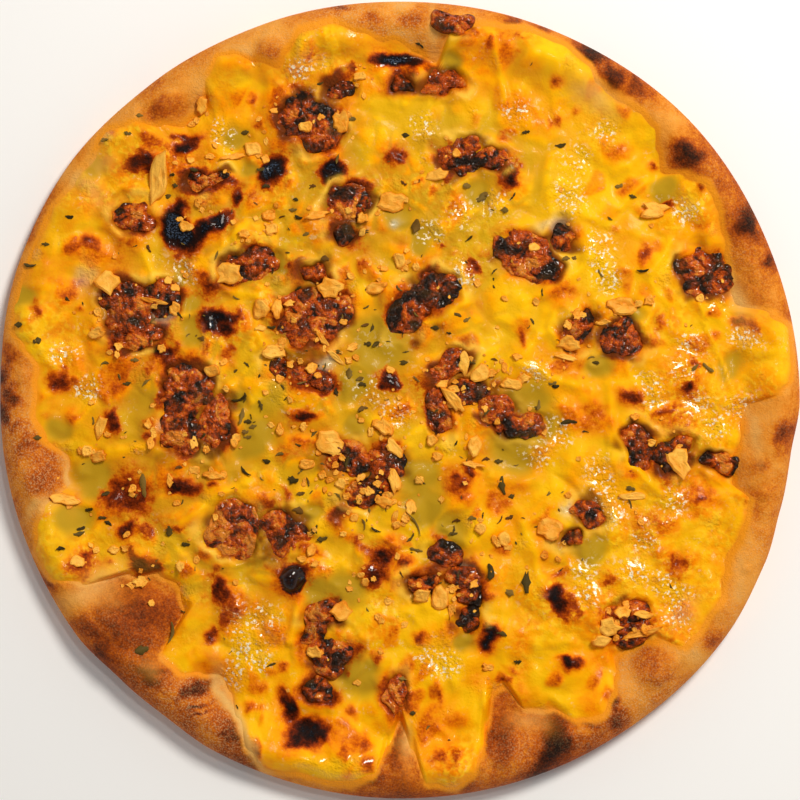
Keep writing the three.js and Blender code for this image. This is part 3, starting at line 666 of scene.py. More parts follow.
# Cheese that soaked up meat juice and browned: (x, y, length, width, turn in degrees, strength)
SOAKED = [
    (-35, 17, 20, 12, 0, 1.0), (34, 2, 22, 12, -30, 1.0), (-75, -8, 26, 18, 90, 0.9),
    (-86, -18, 16, 9, 0, 0.7), (-23, -22, 18, 13, 0, 0.9), (-24, -43, 13, 6, 90, 0.8),
    (-52, -52, 16, 18, 0, 1.0), (108, -20, 12, 9, 0, 0.8), (14, -64, 12, 14, 0, 0.8),
    (75, 24, 10, 8, 0, 0.9), (53, 58, 12, 6, 0, 0.7), (28, 90, 14, 8, 0, 0.7),
]

# Blisters and burnt places: (x, y, length, width, turn in degrees, darkness)
BLISTERS = [
    (-82, 65, 19, 9, 100, 1.6), (-74, 61, 11, 7, 40, 1.3), (-67, 67, 14, 6, 50, 1.25),
    (-62, 76, 9, 5, 75, 1.2), (-81, 96, 13, 5, 28, 1.2), (-96, 88, 11, 8, 0, 1.05),
    (-47, 86, 10, 9, 90, 1.4), (-26, 86, 11, 10, 0, 1.4), (-66, 29, 15, 11, 0, 1.25),
    (-87, 18, 11, 7, 40, 1.1), (-95, 10, 8, 4, 50, 0.7), (-108, -8, 10, 5, 90, 1.1),
    (-1, 128, 18, 7, 0, 1.5), (-40, -67, 15, 13, 80, 1.15), (-81, -32, 13, 8, 0, 1.1),
    (-70, -32, 4, 3, 0, 1.05), (-37, -5, 10, 5, 0, 1.1), (-4, 8, 10, 7, 120, 1.1),
    (42, 84, 10, 9, 90, 1.1), (100, 72, 6, 4, 0, 1.05), (-42, -116, 13, 7, -65, 1.25),
    (-35, -124, 16, 10, 10, 1.3), (33, -89, 8, 7, 90, 1.25), (58, -75, 14, 7, 120, 1.15),
    (63, -98, 9, 5, 0, 1.15), (127, 30, 5, 4, 0, 1.0), (113, 81, 6, 4, 90, 0.9),
    (-128, 8, 10, 10, 45, 0.95), (-96, -60, 15, 8, 130, 1.1), (-69, -71, 10, 5, 90, 1.0),
    (-71, -88, 6, 4, 90, 1.0), (-55, 112, 4, 4, 0, 0.85), (-53, 103, 4, 4, 0, 0.85),
    (-32, 129, 8, 8, 0, 0.55), (-18, 124, 5, 4, 0, 0.8), (-2, 90, 10, 9, 0, 0.85),
    (34, 133, 5, 3, 90, 0.85), (58, 118, 4, 4, 0, 0.75), (58, 103, 4, 3, 0, 0.75),
    (79, 94, 10, 8, 0, 0.5), (95, 87, 4, 3, 0, 0.8), (-117, 58, 8, 5, 0, 0.8),
    (-100, 58, 4, 4, 0, 0.75), (-136, 34, 8, 4, 90, 0.7), (-120, 34, 3, 3, 0, 0.7),
    (28, 51, 10, 4, 120, 0.85), (16, 58, 4, 3, 0, 0.7), (46, 24, 8, 4, 90, 0.75),
    (91, 55, 10, 5, 90, 0.7), (96, 29, 8, 4, 90, 0.75), (108, 5, 5, 5, 0, 1.05),
    (108, 5, 11, 10, 0, 0.55), (87, 0, 10, 8, 0, 0.85), (70, -4, 16, 14, 0, 0.5),
    (61, 39, 10, 8, 0, 0.5), (112, -37, 6, 4, 0, 0.85), (112, -37, 14, 11, 0, 0.5),
    (105, -60, 11, 10, 0, 0.65), (94, -46, 16, 14, 0, 0.45), (78, -68, 6, 5, 90, 0.7),
    (23, -31, 13, 10, 90, 0.75), (25, -26, 5, 4, 0, 1.0), (36, -39, 10, 8, 0, 0.5),
    (-6, -60, 14, 9, 100, 1.0), (-10, -66, 10, 7, 0, 0.95), (-100, -36, 26, 17, 90, 0.85),
    (-102, -49, 9, 6, 0, 1.0), (-118, -62, 10, 9, 0, 0.8), (-109, -61, 4, 3, 0, 0.8),
    (-132, -17, 5, 4, 0, 0.7), (-65, -81, 10, 8, 90, 0.6), (-56, -115, 7, 4, 0, 0.75),
    (-52, -108, 4, 4, 0, 0.7), (-18, -117, 5, 4, 0, 0.7), (-12, -128, 10, 5, 90, 0.6),
    (-49, -86, 12, 10, 0, 0.4), (8, -89, 5, 4, 0, 0.8), (-9, -96, 4, 4, 0, 0.75),
    (14, -110, 8, 4, 90, 0.65), (20, -120, 11, 5, 0, 0.45), (39, -104, 6, 3, 0, 0.8),
    (66, 108, 3, 3, 0, 0.6), (59, 104, 3, 3, 0, 0.7), (-38, 52, 9, 3, 20, 0.7),
    (-42, -20, 11, 8, 0, 0.55), (-72, 113, 4, 3, 0, 0.75), (44, 135, 4, 3, 0, 0.7),
    (-44, -100, 4, 3, 0, 0.7), (-68, -74, 22, 6, -60, 0.85), (-23, -43, 11, 6, 90, 1.0),
    (-14, -54, 12, 5, -40, 0.7), (-122, 40, 12, 6, 60, 0.6), (-64, 18, 9, 5, 80, 0.75),
    (-50, -38, 12, 6, 10, 0.7),
]

# Middles of the crackled, oily places that glint, where glints are also painted into the colour: (x, y)
GLINTS = [
    (9, 102), (43, 108), (62, 78), (64, 74), (66, 90), (77, 100), (106, 71), (11, 63), (23, 70),
    (34, 74), (24, 48), (74, 58), (76, 52), (78, 45), (108, 21), (94, 6), (95, 1), (105, 11), (110, -1),
    (118, -10), (126, -3), (129, 24), (74, -26), (76, -30), (77, -36), (79, -42), (103, -38), (91, -52),
    (88, -64), (69, -64), (70, -72), (98, -69), (104, -74), (103, -80), (18, -98), (11, -98),
    (-62, -80), (-58, -94), (-52, -97), (-52, -81), (-60, -87), (-62, -103), (-117, 4), (-126, 17),
    (-66, 99), (-38, 123), (-80, 49), (-11, 3), (-1, -5), (52, -20), (51, 10), (59, -12),
]

# Pieces of steak, which the cheese leaves open: (x, y, length, width, turn in degrees, redness)
STEAKS = [
    (-100, 69, 13, 12, 0, 0.45), (-70, 82, 19, 8, 8, 0.40), (-34, 104, 24, 19, -25, 0.02),
    (-24, 117, 12, 10, 60, 0.45), (-19, 74, 17, 13, 30, 0.40), (-21, 62, 10, 9, 0, 0.15),
    (-57, 51, 21, 15, 25, 0.50), (-103, 35, 22, 18, -60, 0.55), (-90, 38, 12, 12, 0, 0.30),
    (-98, 23, 20, 9, 10, 0.50), (-32, 31, 26, 22, 0, 0.72), (-32, 48, 10, 8, 0, 0.50),
    (-46, 12, 11, 10, 0, 0.40), (-34, 7, 17, 10, -20, 0.45), (3, 33, 20, 14, 75, 0.28),
    (15, 40, 17, 15, 0, 0.30), (21, 91, 18, 14, 10, 0.45), (35, 90, 14, 8, 5, 0.60),
    (47, 54, 25, 17, -25, 0.40), (61, 61, 10, 9, 0, 0.15), (67, 27, 16, 11, 70, 0.75),
    (83, 22, 17, 15, 0, 0.20), (115, 48, 22, 20, 0, 0.58), (20, 141, 13, 8, 0, 0.30),
    (1, 118, 9, 6, 0, 0.30), (16, 118, 17, 9, 0, 0.65), (-80, 3, 22, 18, 60, 0.35),
    (-82, -13, 17, 15, 0, 0.50), (-69, -9, 22, 11, 80, 0.70), (18, 12, 20, 8, 35, 0.65),
    (14, -3, 18, 8, 110, 0.60), (25, 2, 13, 12, 0, 0.10), (36, -5, 14, 11, -20, 0.65),
    (47, -10, 13, 9, -15, 0.35), (-19, -21, 17, 14, 0, 0.30), (-5, -23, 14, 13, 0, 0.35),
    (-12, -34, 18, 9, 10, 0.30), (-62, -48, 22, 20, 0, 0.75), (-43, -49, 17, 19, 0, 0.45),
    (-30, -82, 17, 13, 60, 0.70), (-26, -95, 18, 14, 0, 0.50), (-30, -108, 13, 11, 0, 0.20),
    (18, -58, 13, 10, 0, 0.35), (26, -70, 17, 14, -60, 0.60), (10, -68, 13, 8, 0, 0.50),
    (26, -82, 10, 8, 0, 0.35), (89, -18, 19, 13, 90, 0.65), (101, -20, 15, 11, 60, 0.25),
    (120, -23, 20, 6, -10, 0.40), (70, -42, 11, 10, 0, 0.35), (64, -52, 10, 7, 0, 0.30),
    (85, -83, 18, 15, 0, 0.30), (-2, -112, 15, 8, 80, 0.55),
]

# Where melted fat has set, pale and shiny: (x, y, length, width, turn in degrees, strength)
FAT = [
    (-27, 14, 6, 4, 20, 0.75), (-31, 9, 3, 2, 0, 0.4), (-2, 66, 2.8, 2.4, 0, 1.0),
    (62, -41, 5, 3, 70, 0.8), (57, 65, 9, 5, 20, 0.5), (-88, 31, 7, 5, 0, 0.5),
    (-117, 46, 6, 8, 0, 0.4), (24, -62, 5, 3, -50, 0.5), (88, -15, 5, 3, 40, 0.5),
    (-87, -10, 6, 4, 0, 0.5),
]


def steak_reach(x, y, steak):
    """How far out a point lies in a piece of steak: 0 at its middle, 1 on its ragged outline."""
    return oval_reach(*warp(x, y, STEAK_RAGGEDNESS), steak)


def outside_steak(x, y):
    """Distance out from the nearest steak outline, negative inside it."""
    nearest = np.full(np.shape(x), 60.0)
    for steak in STEAKS:
        near = np.hypot(x - steak[0], y - steak[1]) < steak[2] + 12
        reach = steak_reach(x[near], y[near], steak)
        nearest[near] = np.minimum(nearest[near], (reach - 1) * (steak[2] + steak[3]) / 4)
    return nearest


def pool_depth(x, y):
    """1 in the middle of a pool, 0 outside it."""
    deepest = np.zeros(np.shape(x))
    warp_x, warp_y = warp(x, y, POOL_RAGGEDNESS)
    for centre_x, centre_y, radius in POOLS:
        reach = np.hypot(warp_x - centre_x, warp_y - centre_y) / radius
        deepest = np.maximum(deepest, 1 - smooth(0.55, 1.45, reach))
    return deepest


def cheese_pillows(x, y):
    """Pillows that the cheese swelled into: 1 on top and 0 in the creases, and a value for each."""
    warp_x, warp_y = warp(x, y, PILLOW_RAGGEDNESS)
    broad, tone = lumps(warp_x, warp_y, 19, 61)
    small, small_tone = lumps(warp_x, warp_y, 8.5, 66)
    return smooth(0, 0.6, broad), tone, smooth(0, 0.7, small), small_tone


def shred_share(x, y):
    """Where the shreds of the grated cheese still show, from 0 to 1."""
    return smooth(-0.2, 0.6, waves(x, y, SHRED_PLACES))


def strand_share(x, y):
    """1 along the middle of a strand, fading out to its sides and its ends."""
    warp_x, warp_y = warp(x, y, STRAND_RAGGEDNESS)
    strongest = np.zeros(np.shape(x))
    for width, *path in STRANDS:
        places = np.array(path, float).reshape(-1, 2)
        for (start_x, start_y), (end_x, end_y) in zip(places[:-1], places[1:]):
            step_x, step_y = end_x - start_x, end_y - start_y
            part = ((warp_x - start_x) * step_x + (warp_y - start_y) * step_y) / (step_x ** 2 + step_y ** 2)
            part = np.clip(part, 0, 1)
            away = np.hypot(warp_x - start_x - part * step_x, warp_y - start_y - part * step_y)
            strongest = np.maximum(strongest, np.exp(-((away / (0.6 * width)) ** 2)))
    return strongest


def cheese_inside(x, y):
    """Distance in from the cheese's edge."""
    return cheese_edge(degrees_at(x, y)) - np.hypot(x, y)


def cheese_top(x, y):
    inside = cheese_inside(x, y)
    pool = pool_depth(x, y)
    strand = strand_share(x, y)
    broad, _, small, _ = cheese_pillows(x, y)
    ragged = outside_steak(x, y) + 2.0 * unevenness(x, y, 5.5, 67) + 0.9 * unevenness(x, y, 2.6, 68)
    lip = LIP_HEIGHT * np.exp(-(((ragged - LIP_OFFSET) / LIP_WIDTH) ** 2))
    lip *= 0.65 + 0.35 * unevenness(x, y, 9, 69)
    full = CHEESE_THICKNESS + waves(x, y, CHEESE_LUMPS) + lip + PILLOW_HEIGHT * broad
    full = full + SMALL_PILLOW_HEIGHT * small * (1 - pool) - CREASE_DEPTH - POOL_DEPTH * pool
    shreds = (0.15 + 0.85 * shred_share(x, y)) * (1 - 0.8 * pool) * (1 - 0.8 * strand)
    full += shreds * waves(x, y, SHRED_BUMPS) + STRAND_HEIGHT * strand
    full += BLISTER_HEIGHT * marks(x, y, BLISTERS, 0.7, 0.4)
    full += BUBBLE_HEIGHT * np.sqrt(np.clip(1 - oval_reach(x, y, BUBBLE) ** 2, 0, 1))
    window = 1 - smooth(-4.0, 0.4, ragged)
    full = full * (1 - window) + UNDER_STEAK * window
    dough = dough_top(x, y)
    full *= 1 - 0.35 * smooth(11, 18, dough)
    steepness = 0.65 + 0.25 * unevenness(x, y, 30, 70)
    filled = smooth(0, CHEESE_EDGE_ROUNDING, inside) ** steepness
    return dough + CHEESE_EDGE_THICKNESS + (full - CHEESE_EDGE_THICKNESS) * filled


def make_cheese_material():
    material, tree, shader = new_material("melted_cheese")
    toast = field_value(tree, "toast")
    for grain, share in ((340.0, 0.5), (760.0, 0.45), (1500.0, 0.26)):
        toast = roughen(tree, toast, grain, share)
    toasted = calculate(tree, "MULTIPLY", toast, 0.8)
    colour = colour_ramp(tree, toasted, CHEESE_BROWNING)
    fresh = spread(tree, toasted, 0.24, 0.5, 1, 0)
    shreds = calculate(tree, "MULTIPLY", field_value(tree, "shreds"), fresh)
    # Deeper yellow specks stand partly for painted shade between the shreds, and brighter specks on their
    # raised bumps for painted highlight
    deep_shreds_and_shade = calculate(tree, "MULTIPLY", speck_mask(tree, 300.0, 0.70, 0.3), shreds)
    raised = calculate(tree, "MULTIPLY", speck_mask(tree, 460.0, 0.72, 0.3), shreds)
    thin_and_crease_shade = calculate(tree, "MULTIPLY", field_value(tree, "thin_and_crease_shade"), fresh)
    burnt = spread(tree, toasted, 0.95, 1.12, 0, 0.55)
    # Painted reflection: blue-grey specks on the burnt cheese stand in for its sheen
    painted_char_sheen = calculate(tree, "MULTIPLY", speck_mask(tree, 1700.0, 0.6, 0.12), burnt)
    for share, tint in (
        (deep_shreds_and_shade, DEEP_YELLOW_AND_SHADE), (raised, BRIGHT_YELLOW_AND_HIGHLIGHT), (thin_and_crease_shade, THIN_CHEESE_AND_SHADE), (painted_char_sheen, PAINTED_CHAR_SHEEN),
        (field_value(tree, "creamy"), CREAMY_LIP), (field_value(tree, "juice"), MEAT_JUICE),
        (field_value(tree, "fat"), SET_FAT),
    ):
        colour = mix_colours(tree, share, colour, srgb(tint))
    beside = mix_colours(tree, field_value(tree, "oiled"), srgb(CREAM), srgb(OILED))
    colour = mix_colours(tree, field_value(tree, "pale"), colour, beside)
    # Painted glints: pale specks in the colour where the cheese is wet and fresh
    fresh_painted_glints = calculate(tree, "MULTIPLY", field_value(tree, "painted_glints"), fresh)
    painted_glints = calculate(tree, "MULTIPLY", speck_mask(tree, 720.0, 0.66, 0.12), fresh_painted_glints)
    colour = mix_colours(tree, painted_glints, colour, srgb(PAINTED_GLINT))
    tree.links.new(colour, shader.inputs["Base Color"])
    wet = field_value(tree, "wet")
    relief = relief_height(tree, 500.0, 1000.0, 0.8)
    height = calculate(tree, "MULTIPLY", relief, field_value(tree, "crust"))
    height = calculate(tree, "ADD", height, calculate(tree, "MULTIPLY", raised, 0.3))
    crackle = speck_mask(tree, 900.0, 0.66, 0.34)
    crackle = calculate(tree, "MULTIPLY", crackle, calculate(tree, "MULTIPLY", wet, 0.7))
    add_bump(tree, shader, calculate(tree, "ADD", height, crackle), 0.0009, 0.7)
    tree.links.new(spread(tree, wet, 0.2, 0.9, 0.05, 0.85), shader.inputs["Coat Weight"])
    shader.inputs["Coat Roughness"].default_value = 0.08
    shader.inputs["Roughness"].default_value = 0.5
    shader.inputs["Specular IOR Level"].default_value = 0.06
    return material


def make_cheese_net(rings):
    """Angles in degrees and parts of the radius for a net of equal triangles, ring after ring."""
    degrees = np.concatenate([np.arange(6 * ring) * 60 / ring for ring in range(1, rings + 1)])
    part = np.concatenate([np.full(6 * ring, ring / rings) for ring in range(1, rings + 1)])
    triangles = []
    start = 0
    for ring in range(rings):
        outer_start = start + (6 * ring if ring else 1)
        steps = np.arange(ring + 1)
        for sector in range(6):
            near = sector * ring + steps
            far = sector * (ring + 1) + steps
            inner = start + (near % (6 * ring) if ring else np.zeros_like(near))
            outer = outer_start + far % (6 * (ring + 1))
            outer_next = outer_start + (far + 1) % (6 * (ring + 1))
            triangles.append(np.stack([inner, outer, outer_next], axis=-1))
            if ring:
                inner_next = start + (near[:-1] + 1) % (6 * ring)
                triangles.append(np.stack([inner[:-1], outer_next[:-1], inner_next], axis=-1))
        start = outer_start
    return degrees, part, np.concatenate(triangles)


def cheese_browning(x, y, outside, pool, strand, pillows, blister):
    """How brown the cheese is: in patches, on its pillows, beside the meat, and burnt on its blisters."""
    broad, tone, small, small_tone = pillows
    near_meat = smooth(-0.3, 0.6, unevenness(x, y, 8, 74))
    browned = smooth(70, -50, x + 0.25 * y)
    halo = (0.10 + 0.42 * near_meat) * np.exp(-((np.clip(outside + 1.5, 0, None) / (3.2 + browned)) ** 2))
    halo *= 1 + 0.5 * browned
    halo += 0.10 * np.exp(-np.clip(outside, 0, None) / 6)
    patches = (0.28 + 0.1 * browned) * waves(x, y, CHEESE_PATCHES) * (1 - 0.6 * pool)
    toast = 0.05 + 0.05 * browned + patches + halo
    toast += 0.26 * smooth(0.6, 1, broad) * smooth(0.55, 0.8, tone) * (1 - pool)
    toast += 0.36 * smooth(0.1, 1, small) * smooth(0.72, 0.95, small_tone) * (1 - pool)
    toast *= 1 - 0.75 * strand
    oily_ring = marks(x, y, BLISTERS, 1.5, 0.5)
    toast = np.maximum(np.clip(toast, 0, 0.75), blister) + 0.12 * oily_ring
    toast = np.where(outside < -3.0, np.maximum(toast, 0.66), toast)
    return np.where(oval_reach(x, y, BUBBLE) < 1.05, 1.15, toast)


def cheese_thinness_and_shade(x, y, pool, strand, pillows):
    """Where the cheese ran thin and shows the oil, in its pools, and painted shade in the creases between
    the pillows.
    """
    broad, _, small, _ = pillows
    runny = (0.35 + 0.65 * smooth(60, -30, x - 0.6 * y)) * (1 - 0.6 * smooth(95, 125, np.hypot(x, y)))
    runny *= 1 - 0.55 * smooth(-60, -95, y)
    # Painted shade: the creases between the broad and the small pillows take the thin olive colour
    valley = (1 - smooth(0.1, 0.62, broad)) * (0.7 + 0.3 * unevenness(x, y, 16, 76))
    shallow = (1 - smooth(0.0, 0.4, small)) * (0.5 + 0.5 * unevenness(x, y, 12, 80))
    return np.maximum(0.95 * pool, runny * np.maximum(0.85 * valley, 0.7 * shallow)) * (1 - strand)


def cheese_wetness(x, y, pool, blister, fat):
    """How wet the cheese shines, and where glints are painted into its colour as small pale specks."""
    wet = np.zeros(len(x))
    for glint_x, glint_y in GLINTS:
        away = np.hypot(x - glint_x, y - glint_y) / GLINT_RADIUS
        wet = np.maximum(wet, np.exp(-(away ** 2)))
    painted_glints = smooth(0.1, 0.7, wet + 0.3 * unevenness(x, y, 4, 97))
    wet = np.maximum(wet, 0.6 * smooth(0.45, 0.85, unevenness(x, y, 9, 77))) * (1 - smooth(0.3, 0.8, pool))
    wet = np.maximum(wet, 0.6 * smooth(1.15, 1.0, oval_reach(x, y, BUBBLE)))
    wet = np.maximum(wet, fat)
    return np.maximum(wet, 0.34 * smooth(0.6, 0.9, blister)), painted_glints


def cheese_juice(x, y, outside, pool, strand):
    """Where meat juice soaked in beside the steak, and where a clean creamy lip stands there instead."""
    juice = 0.9 * smooth(-0.3, 0.3, unevenness(x, y, 9, 95))
    juice *= 1 - smooth(0.2, 3.6, outside + 1.2 * unevenness(x, y, 3.4, 96))
    soaked = np.clip(marks(x, y, SOAKED, 0.5, 0.2), 0, 1) * (0.85 + 0.3 * unevenness(x, y, 1.8, 109))
    soaked = np.clip(soaked, 0, 1)
    juice = np.maximum(juice * (1 - 0.6 * strand), 0.9 * soaked)
    creamy = np.exp(-(((outside - 2.6) / 1.5) ** 2)) * smooth(0.15, -0.45, unevenness(x, y, 8, 74))
    creamy *= 0.75 * smooth(-0.6, 0.2, unevenness(x, y, 11, 108)) * (1 - 0.5 * pool) * (1 - soaked)
    return juice * (1 - 0.8 * creamy), creamy


def cheese_fields(x, y):
    outside, inside = outside_steak(x, y), cheese_inside(x, y)
    pool, strand, pillows = pool_depth(x, y), strand_share(x, y), cheese_pillows(x, y)
    blister = marks(x, y, BLISTERS, 0.3, 0.2) * (0.86 + 0.2 * unevenness(x, y, 2.6, 75))
    toast = cheese_browning(x, y, outside, pool, strand, pillows, blister)
    fat = 0.8 * np.clip(marks(x, y, FAT, 0.3, 0.15), 0, 1)
    wet, painted_glints = cheese_wetness(x, y, pool, blister, fat)
    juice, creamy = cheese_juice(x, y, outside, pool, strand)
    baked = 0.2 + 0.4 * smooth(0.2, 0.6, toast) + 0.15 * unevenness(x, y, 9, 78) - 0.2 * pool
    pale_width = PALE_WIDTH + 1.6 * unevenness(x, y, 12, 79)
    pale_place = pale_share(x, y)
    pale = np.maximum(1 - smooth(0.1, 1, np.clip(inside, 0, None) / pale_width), 0.9 * pale_place)
    return {
        "toast": toast, "wet": wet, "painted_glints": painted_glints, "juice": juice, "creamy": creamy, "fat": fat,
        "thin_and_crease_shade": np.clip(cheese_thinness_and_shade(x, y, pool, strand, pillows), 0, 1),
        "shreds": 0.8 * shred_share(x, y) * (1 - pool) * (1 - strand),
        "crust": np.clip(baked, 0.06, 1), "pale": np.clip(pale, 0, 1), "oiled": 1 - pale_place,
    }


def make_cheese():
    degrees, part, net = make_cheese_net(CHEESE_RINGS)
    follow = smooth(0.6, 1, part)
    reach = part * (CHEESE_MEAN_RADIUS + (cheese_edge(degrees) - CHEESE_MEAN_RADIUS) * follow)
    x = np.concatenate([[0.0], reach * np.cos(np.radians(degrees))])
    y = np.concatenate([[0.0], reach * np.sin(np.radians(degrees))])
    top = np.stack([x, y, cheese_top(x, y)], axis=-1)
    edge_count = 6 * CHEESE_RINGS
    low = top[-edge_count:].copy()
    low[:, 2] = CHEESE_FOOT
    points = np.concatenate([top, low, [[0, 0, CHEESE_FOOT]]])
    low_start, edge_start = len(top), len(top) - edge_count
    step = np.arange(edge_count)
    ahead = (step + 1) % edge_count
    walls = np.stack([low_start + step, low_start + ahead, edge_start + ahead, edge_start + step], axis=-1)
    faces = [net, walls, fan(len(points) - 1, low_start, edge_count, upward=False)]
    reach = np.hypot(points[:, 0], points[:, 1]) / WHOLE_REACH
    # On the flat map the wall is a narrow band round the top
    wall_reach = reach + np.where(np.arange(len(points)) >= low_start, 0.03, 0)
    top_map = disc_map(points, wall_reach, (0.42, 0.42), 0.40)
    under_map = disc_map(points, reach, (0.9, 0.9), 0.09)
    fields = cheese_fields(points[:, 0], points[:, 1])
    piece = add_piece("cheese_sheet", points, faces, fields, [top_map, top_map, under_map],
                      make_cheese_material())
    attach(piece, "root")
    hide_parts("cheese")


make_cheese()

# ==== The steak ==========================================================================
# Chopped beef, seasoned and seared, then baked on the pizza. Each piece is a crumbly lump set into the
# cheese, red-brown to orange, a little lighter on its high parts as painted highlight, and with painted
# shade that turns its creases nearly black.

STEAK_HEIGHT = 5.4
STEAK_SHOULDER = 0.68  # share of the height where its side turns over
STEAK_CROWN = 0.6  # share of the width where its crown begins
STEAK_CROWN_HEIGHT = 0.95  # share of the height at that place
STEAK_FOOT = 1.16  # where its side meets the dough
STEAK_SINK = 0.5  # how far it reaches into the dough
STEAK_SETTLING = 0.1  # how far a piece on the rim has sunk, as a share of the rim's height there
STEAK_SPACING = 0.42  # between the points of its surface
MEAN_REDNESS = 0.4

# Raggedness of the crumbs: (shift, distance between bends, seed along x, seed along y)
CRUMB_RAGGEDNESS = [(2.3, 4.8, 81, 83), (0.9, 1.9, 82, 84)]

# Colours as seen, 0 to 255 a channel
# Painted shade in the creases of the meat
CREASE_SHADE = (30, 14, 6)
OLIVE_GLAZE = (80, 54, 22)

# The meat from seared black to raw orange fat: (redness, colour)
STEAK_COLOURS = [
    (0.0, (34, 20, 8)), (0.2, (82, 36, 6)), (0.4, (142, 54, 4)), (0.6, (192, 74, 4)),
    (0.8, (224, 102, 14)), (1.0, (240, 144, 42)),
]


def steak_floor(steak):
    floor = float(dough_top(np.array([steak[0]]), np.array([steak[1]]))[0])
    return floor - STEAK_SETTLING * (floor - BASE_TOP)


def steak_rise(steak, reach):
    """Height of a steak piece over the dough, from its middle out to its foot."""
    size = STEAK_HEIGHT * (0.85 + 0.3 * cell_value(steak[0], steak[1], 5))
    crown = 1 - 0.05 * reach / STEAK_CROWN
    drop = (STEAK_CROWN_HEIGHT - STEAK_SHOULDER) * (reach - STEAK_CROWN) / (1 - STEAK_CROWN)
    side = STEAK_CROWN_HEIGHT - drop
    foot = STEAK_SHOULDER * (1 - smooth(1, STEAK_FOOT, reach))
    return size * np.where(reach < STEAK_CROWN, crown, np.where(reach < 1, side, foot))


def steak_crumbs(x, y):
    """Relief of chopped meat, with a value for each crumb, and how much painted shade its creases take."""
    warp_x, warp_y = warp(x, y, CRUMB_RAGGEDNESS)
    coarse, tone = lumps(warp_x, warp_y, 6.2, 85)
    fine, fine_tone = lumps(warp_x, warp_y, 2.1, 86)
    height = 1.0 * smooth(0, 0.45, coarse) * (0.3 + 0.7 * tone) - 1.0
    height += 0.65 * smooth(0, 0.6, fine) * (0.35 + 0.65 * fine_tone)
    height += 0.55 * unevenness(x, y, 3.3, 87) + 0.42 * unevenness(x, y, 1.2, 88)
    # Painted shade: darker colour in the creases between the crumbs
    crease_shade = 0.6 * (1 - smooth(0, 0.14, coarse)) + 0.25 * (1 - smooth(0, 0.2, fine))
    crease_shade *= 0.6 + 0.4 * unevenness(x, y, 3.6, 89)
    return height, 0.6 * tone + 0.4 * fine_tone, crease_shade


def make_steak_material():
    material, tree, shader = new_material("seared_steak")
    red = roughen(tree, roughen(tree, field_value(tree, "red"), 620.0, 0.6), 1500.0, 0.8)
    colour = colour_ramp(tree, red, STEAK_COLOURS)
    # Painted shade: the creases are darkened in the colour
    crease_shade = calculate(tree, "MULTIPLY", field_value(tree, "crease_shade"), 0.65)
    colour = mix_colours(tree, crease_shade, colour, srgb(CREASE_SHADE))
    colour = mix_colours(tree, field_value(tree, "glaze"), colour, srgb(OLIVE_GLAZE))
    tree.links.new(colour, shader.inputs["Base Color"])
    height = relief_height(tree, 1000.0, 2200.0, 0.6)
    add_bump(tree, shader, height, 0.0012, 1.0)
    juicy = speck_mask(tree, 1100.0, 0.60, 0.12)
    tree.links.new(spread(tree, juicy, 0, 1, 0.16, 0.9), shader.inputs["Coat Weight"])
    shader.inputs["Coat Roughness"].default_value = 0.12
    shader.inputs["Roughness"].default_value = 0.45
    shader.inputs["Specular IOR Level"].default_value = 0.12
    return material


def steak_outline(steak, spokes):
    """Points on the ragged outline of a piece, by their offset from its middle."""
    turn, angles = np.radians(steak[4]), np.arange(spokes) * 2 * np.pi / spokes
    along, across = steak[2] / 2 * np.cos(angles), steak[3] / 2 * np.sin(angles)
    out_x = along * np.cos(turn) - across * np.sin(turn)
    out_y = along * np.sin(turn) + across * np.cos(turn)
    stretch = np.ones(spokes)
    for _ in range(12):
        reach = steak_reach(steak[0] + stretch * out_x, steak[1] + stretch * out_y, steak)
        stretch *= (1 / np.clip(reach, 0.5, 2)) ** 0.6
    return stretch * out_x, stretch * out_y


def steak_fields(x, y, redness):
    """How red and glazed the meat is at each point of a piece of that redness, with painted shade in its
    creases.
    """
    crumb, tone, crease_shade = steak_crumbs(x, y)
    red = 0.50 + 0.6 * (redness - MEAN_REDNESS) + 1.05 * (tone - 0.5) + 0.16 * unevenness(x, y, 4.6, 90)
    # The share by crumb height is painted highlight: the high parts come out lighter and more orange
    red += 0.22 * unevenness(x, y, 1.4, 91) + 0.2 * unevenness(x, y, 2.7, 98) + 0.12 * crumb
    red += 0.3 * unevenness(x, y, 7, 99)
    glaze = 0.7 * smooth(0.4, 0.75, unevenness(x, y, 5, 92)) * (1.1 - redness)
    return {"red": red, "crease_shade": np.clip(crease_shade, 0, 1), "glaze": glaze}


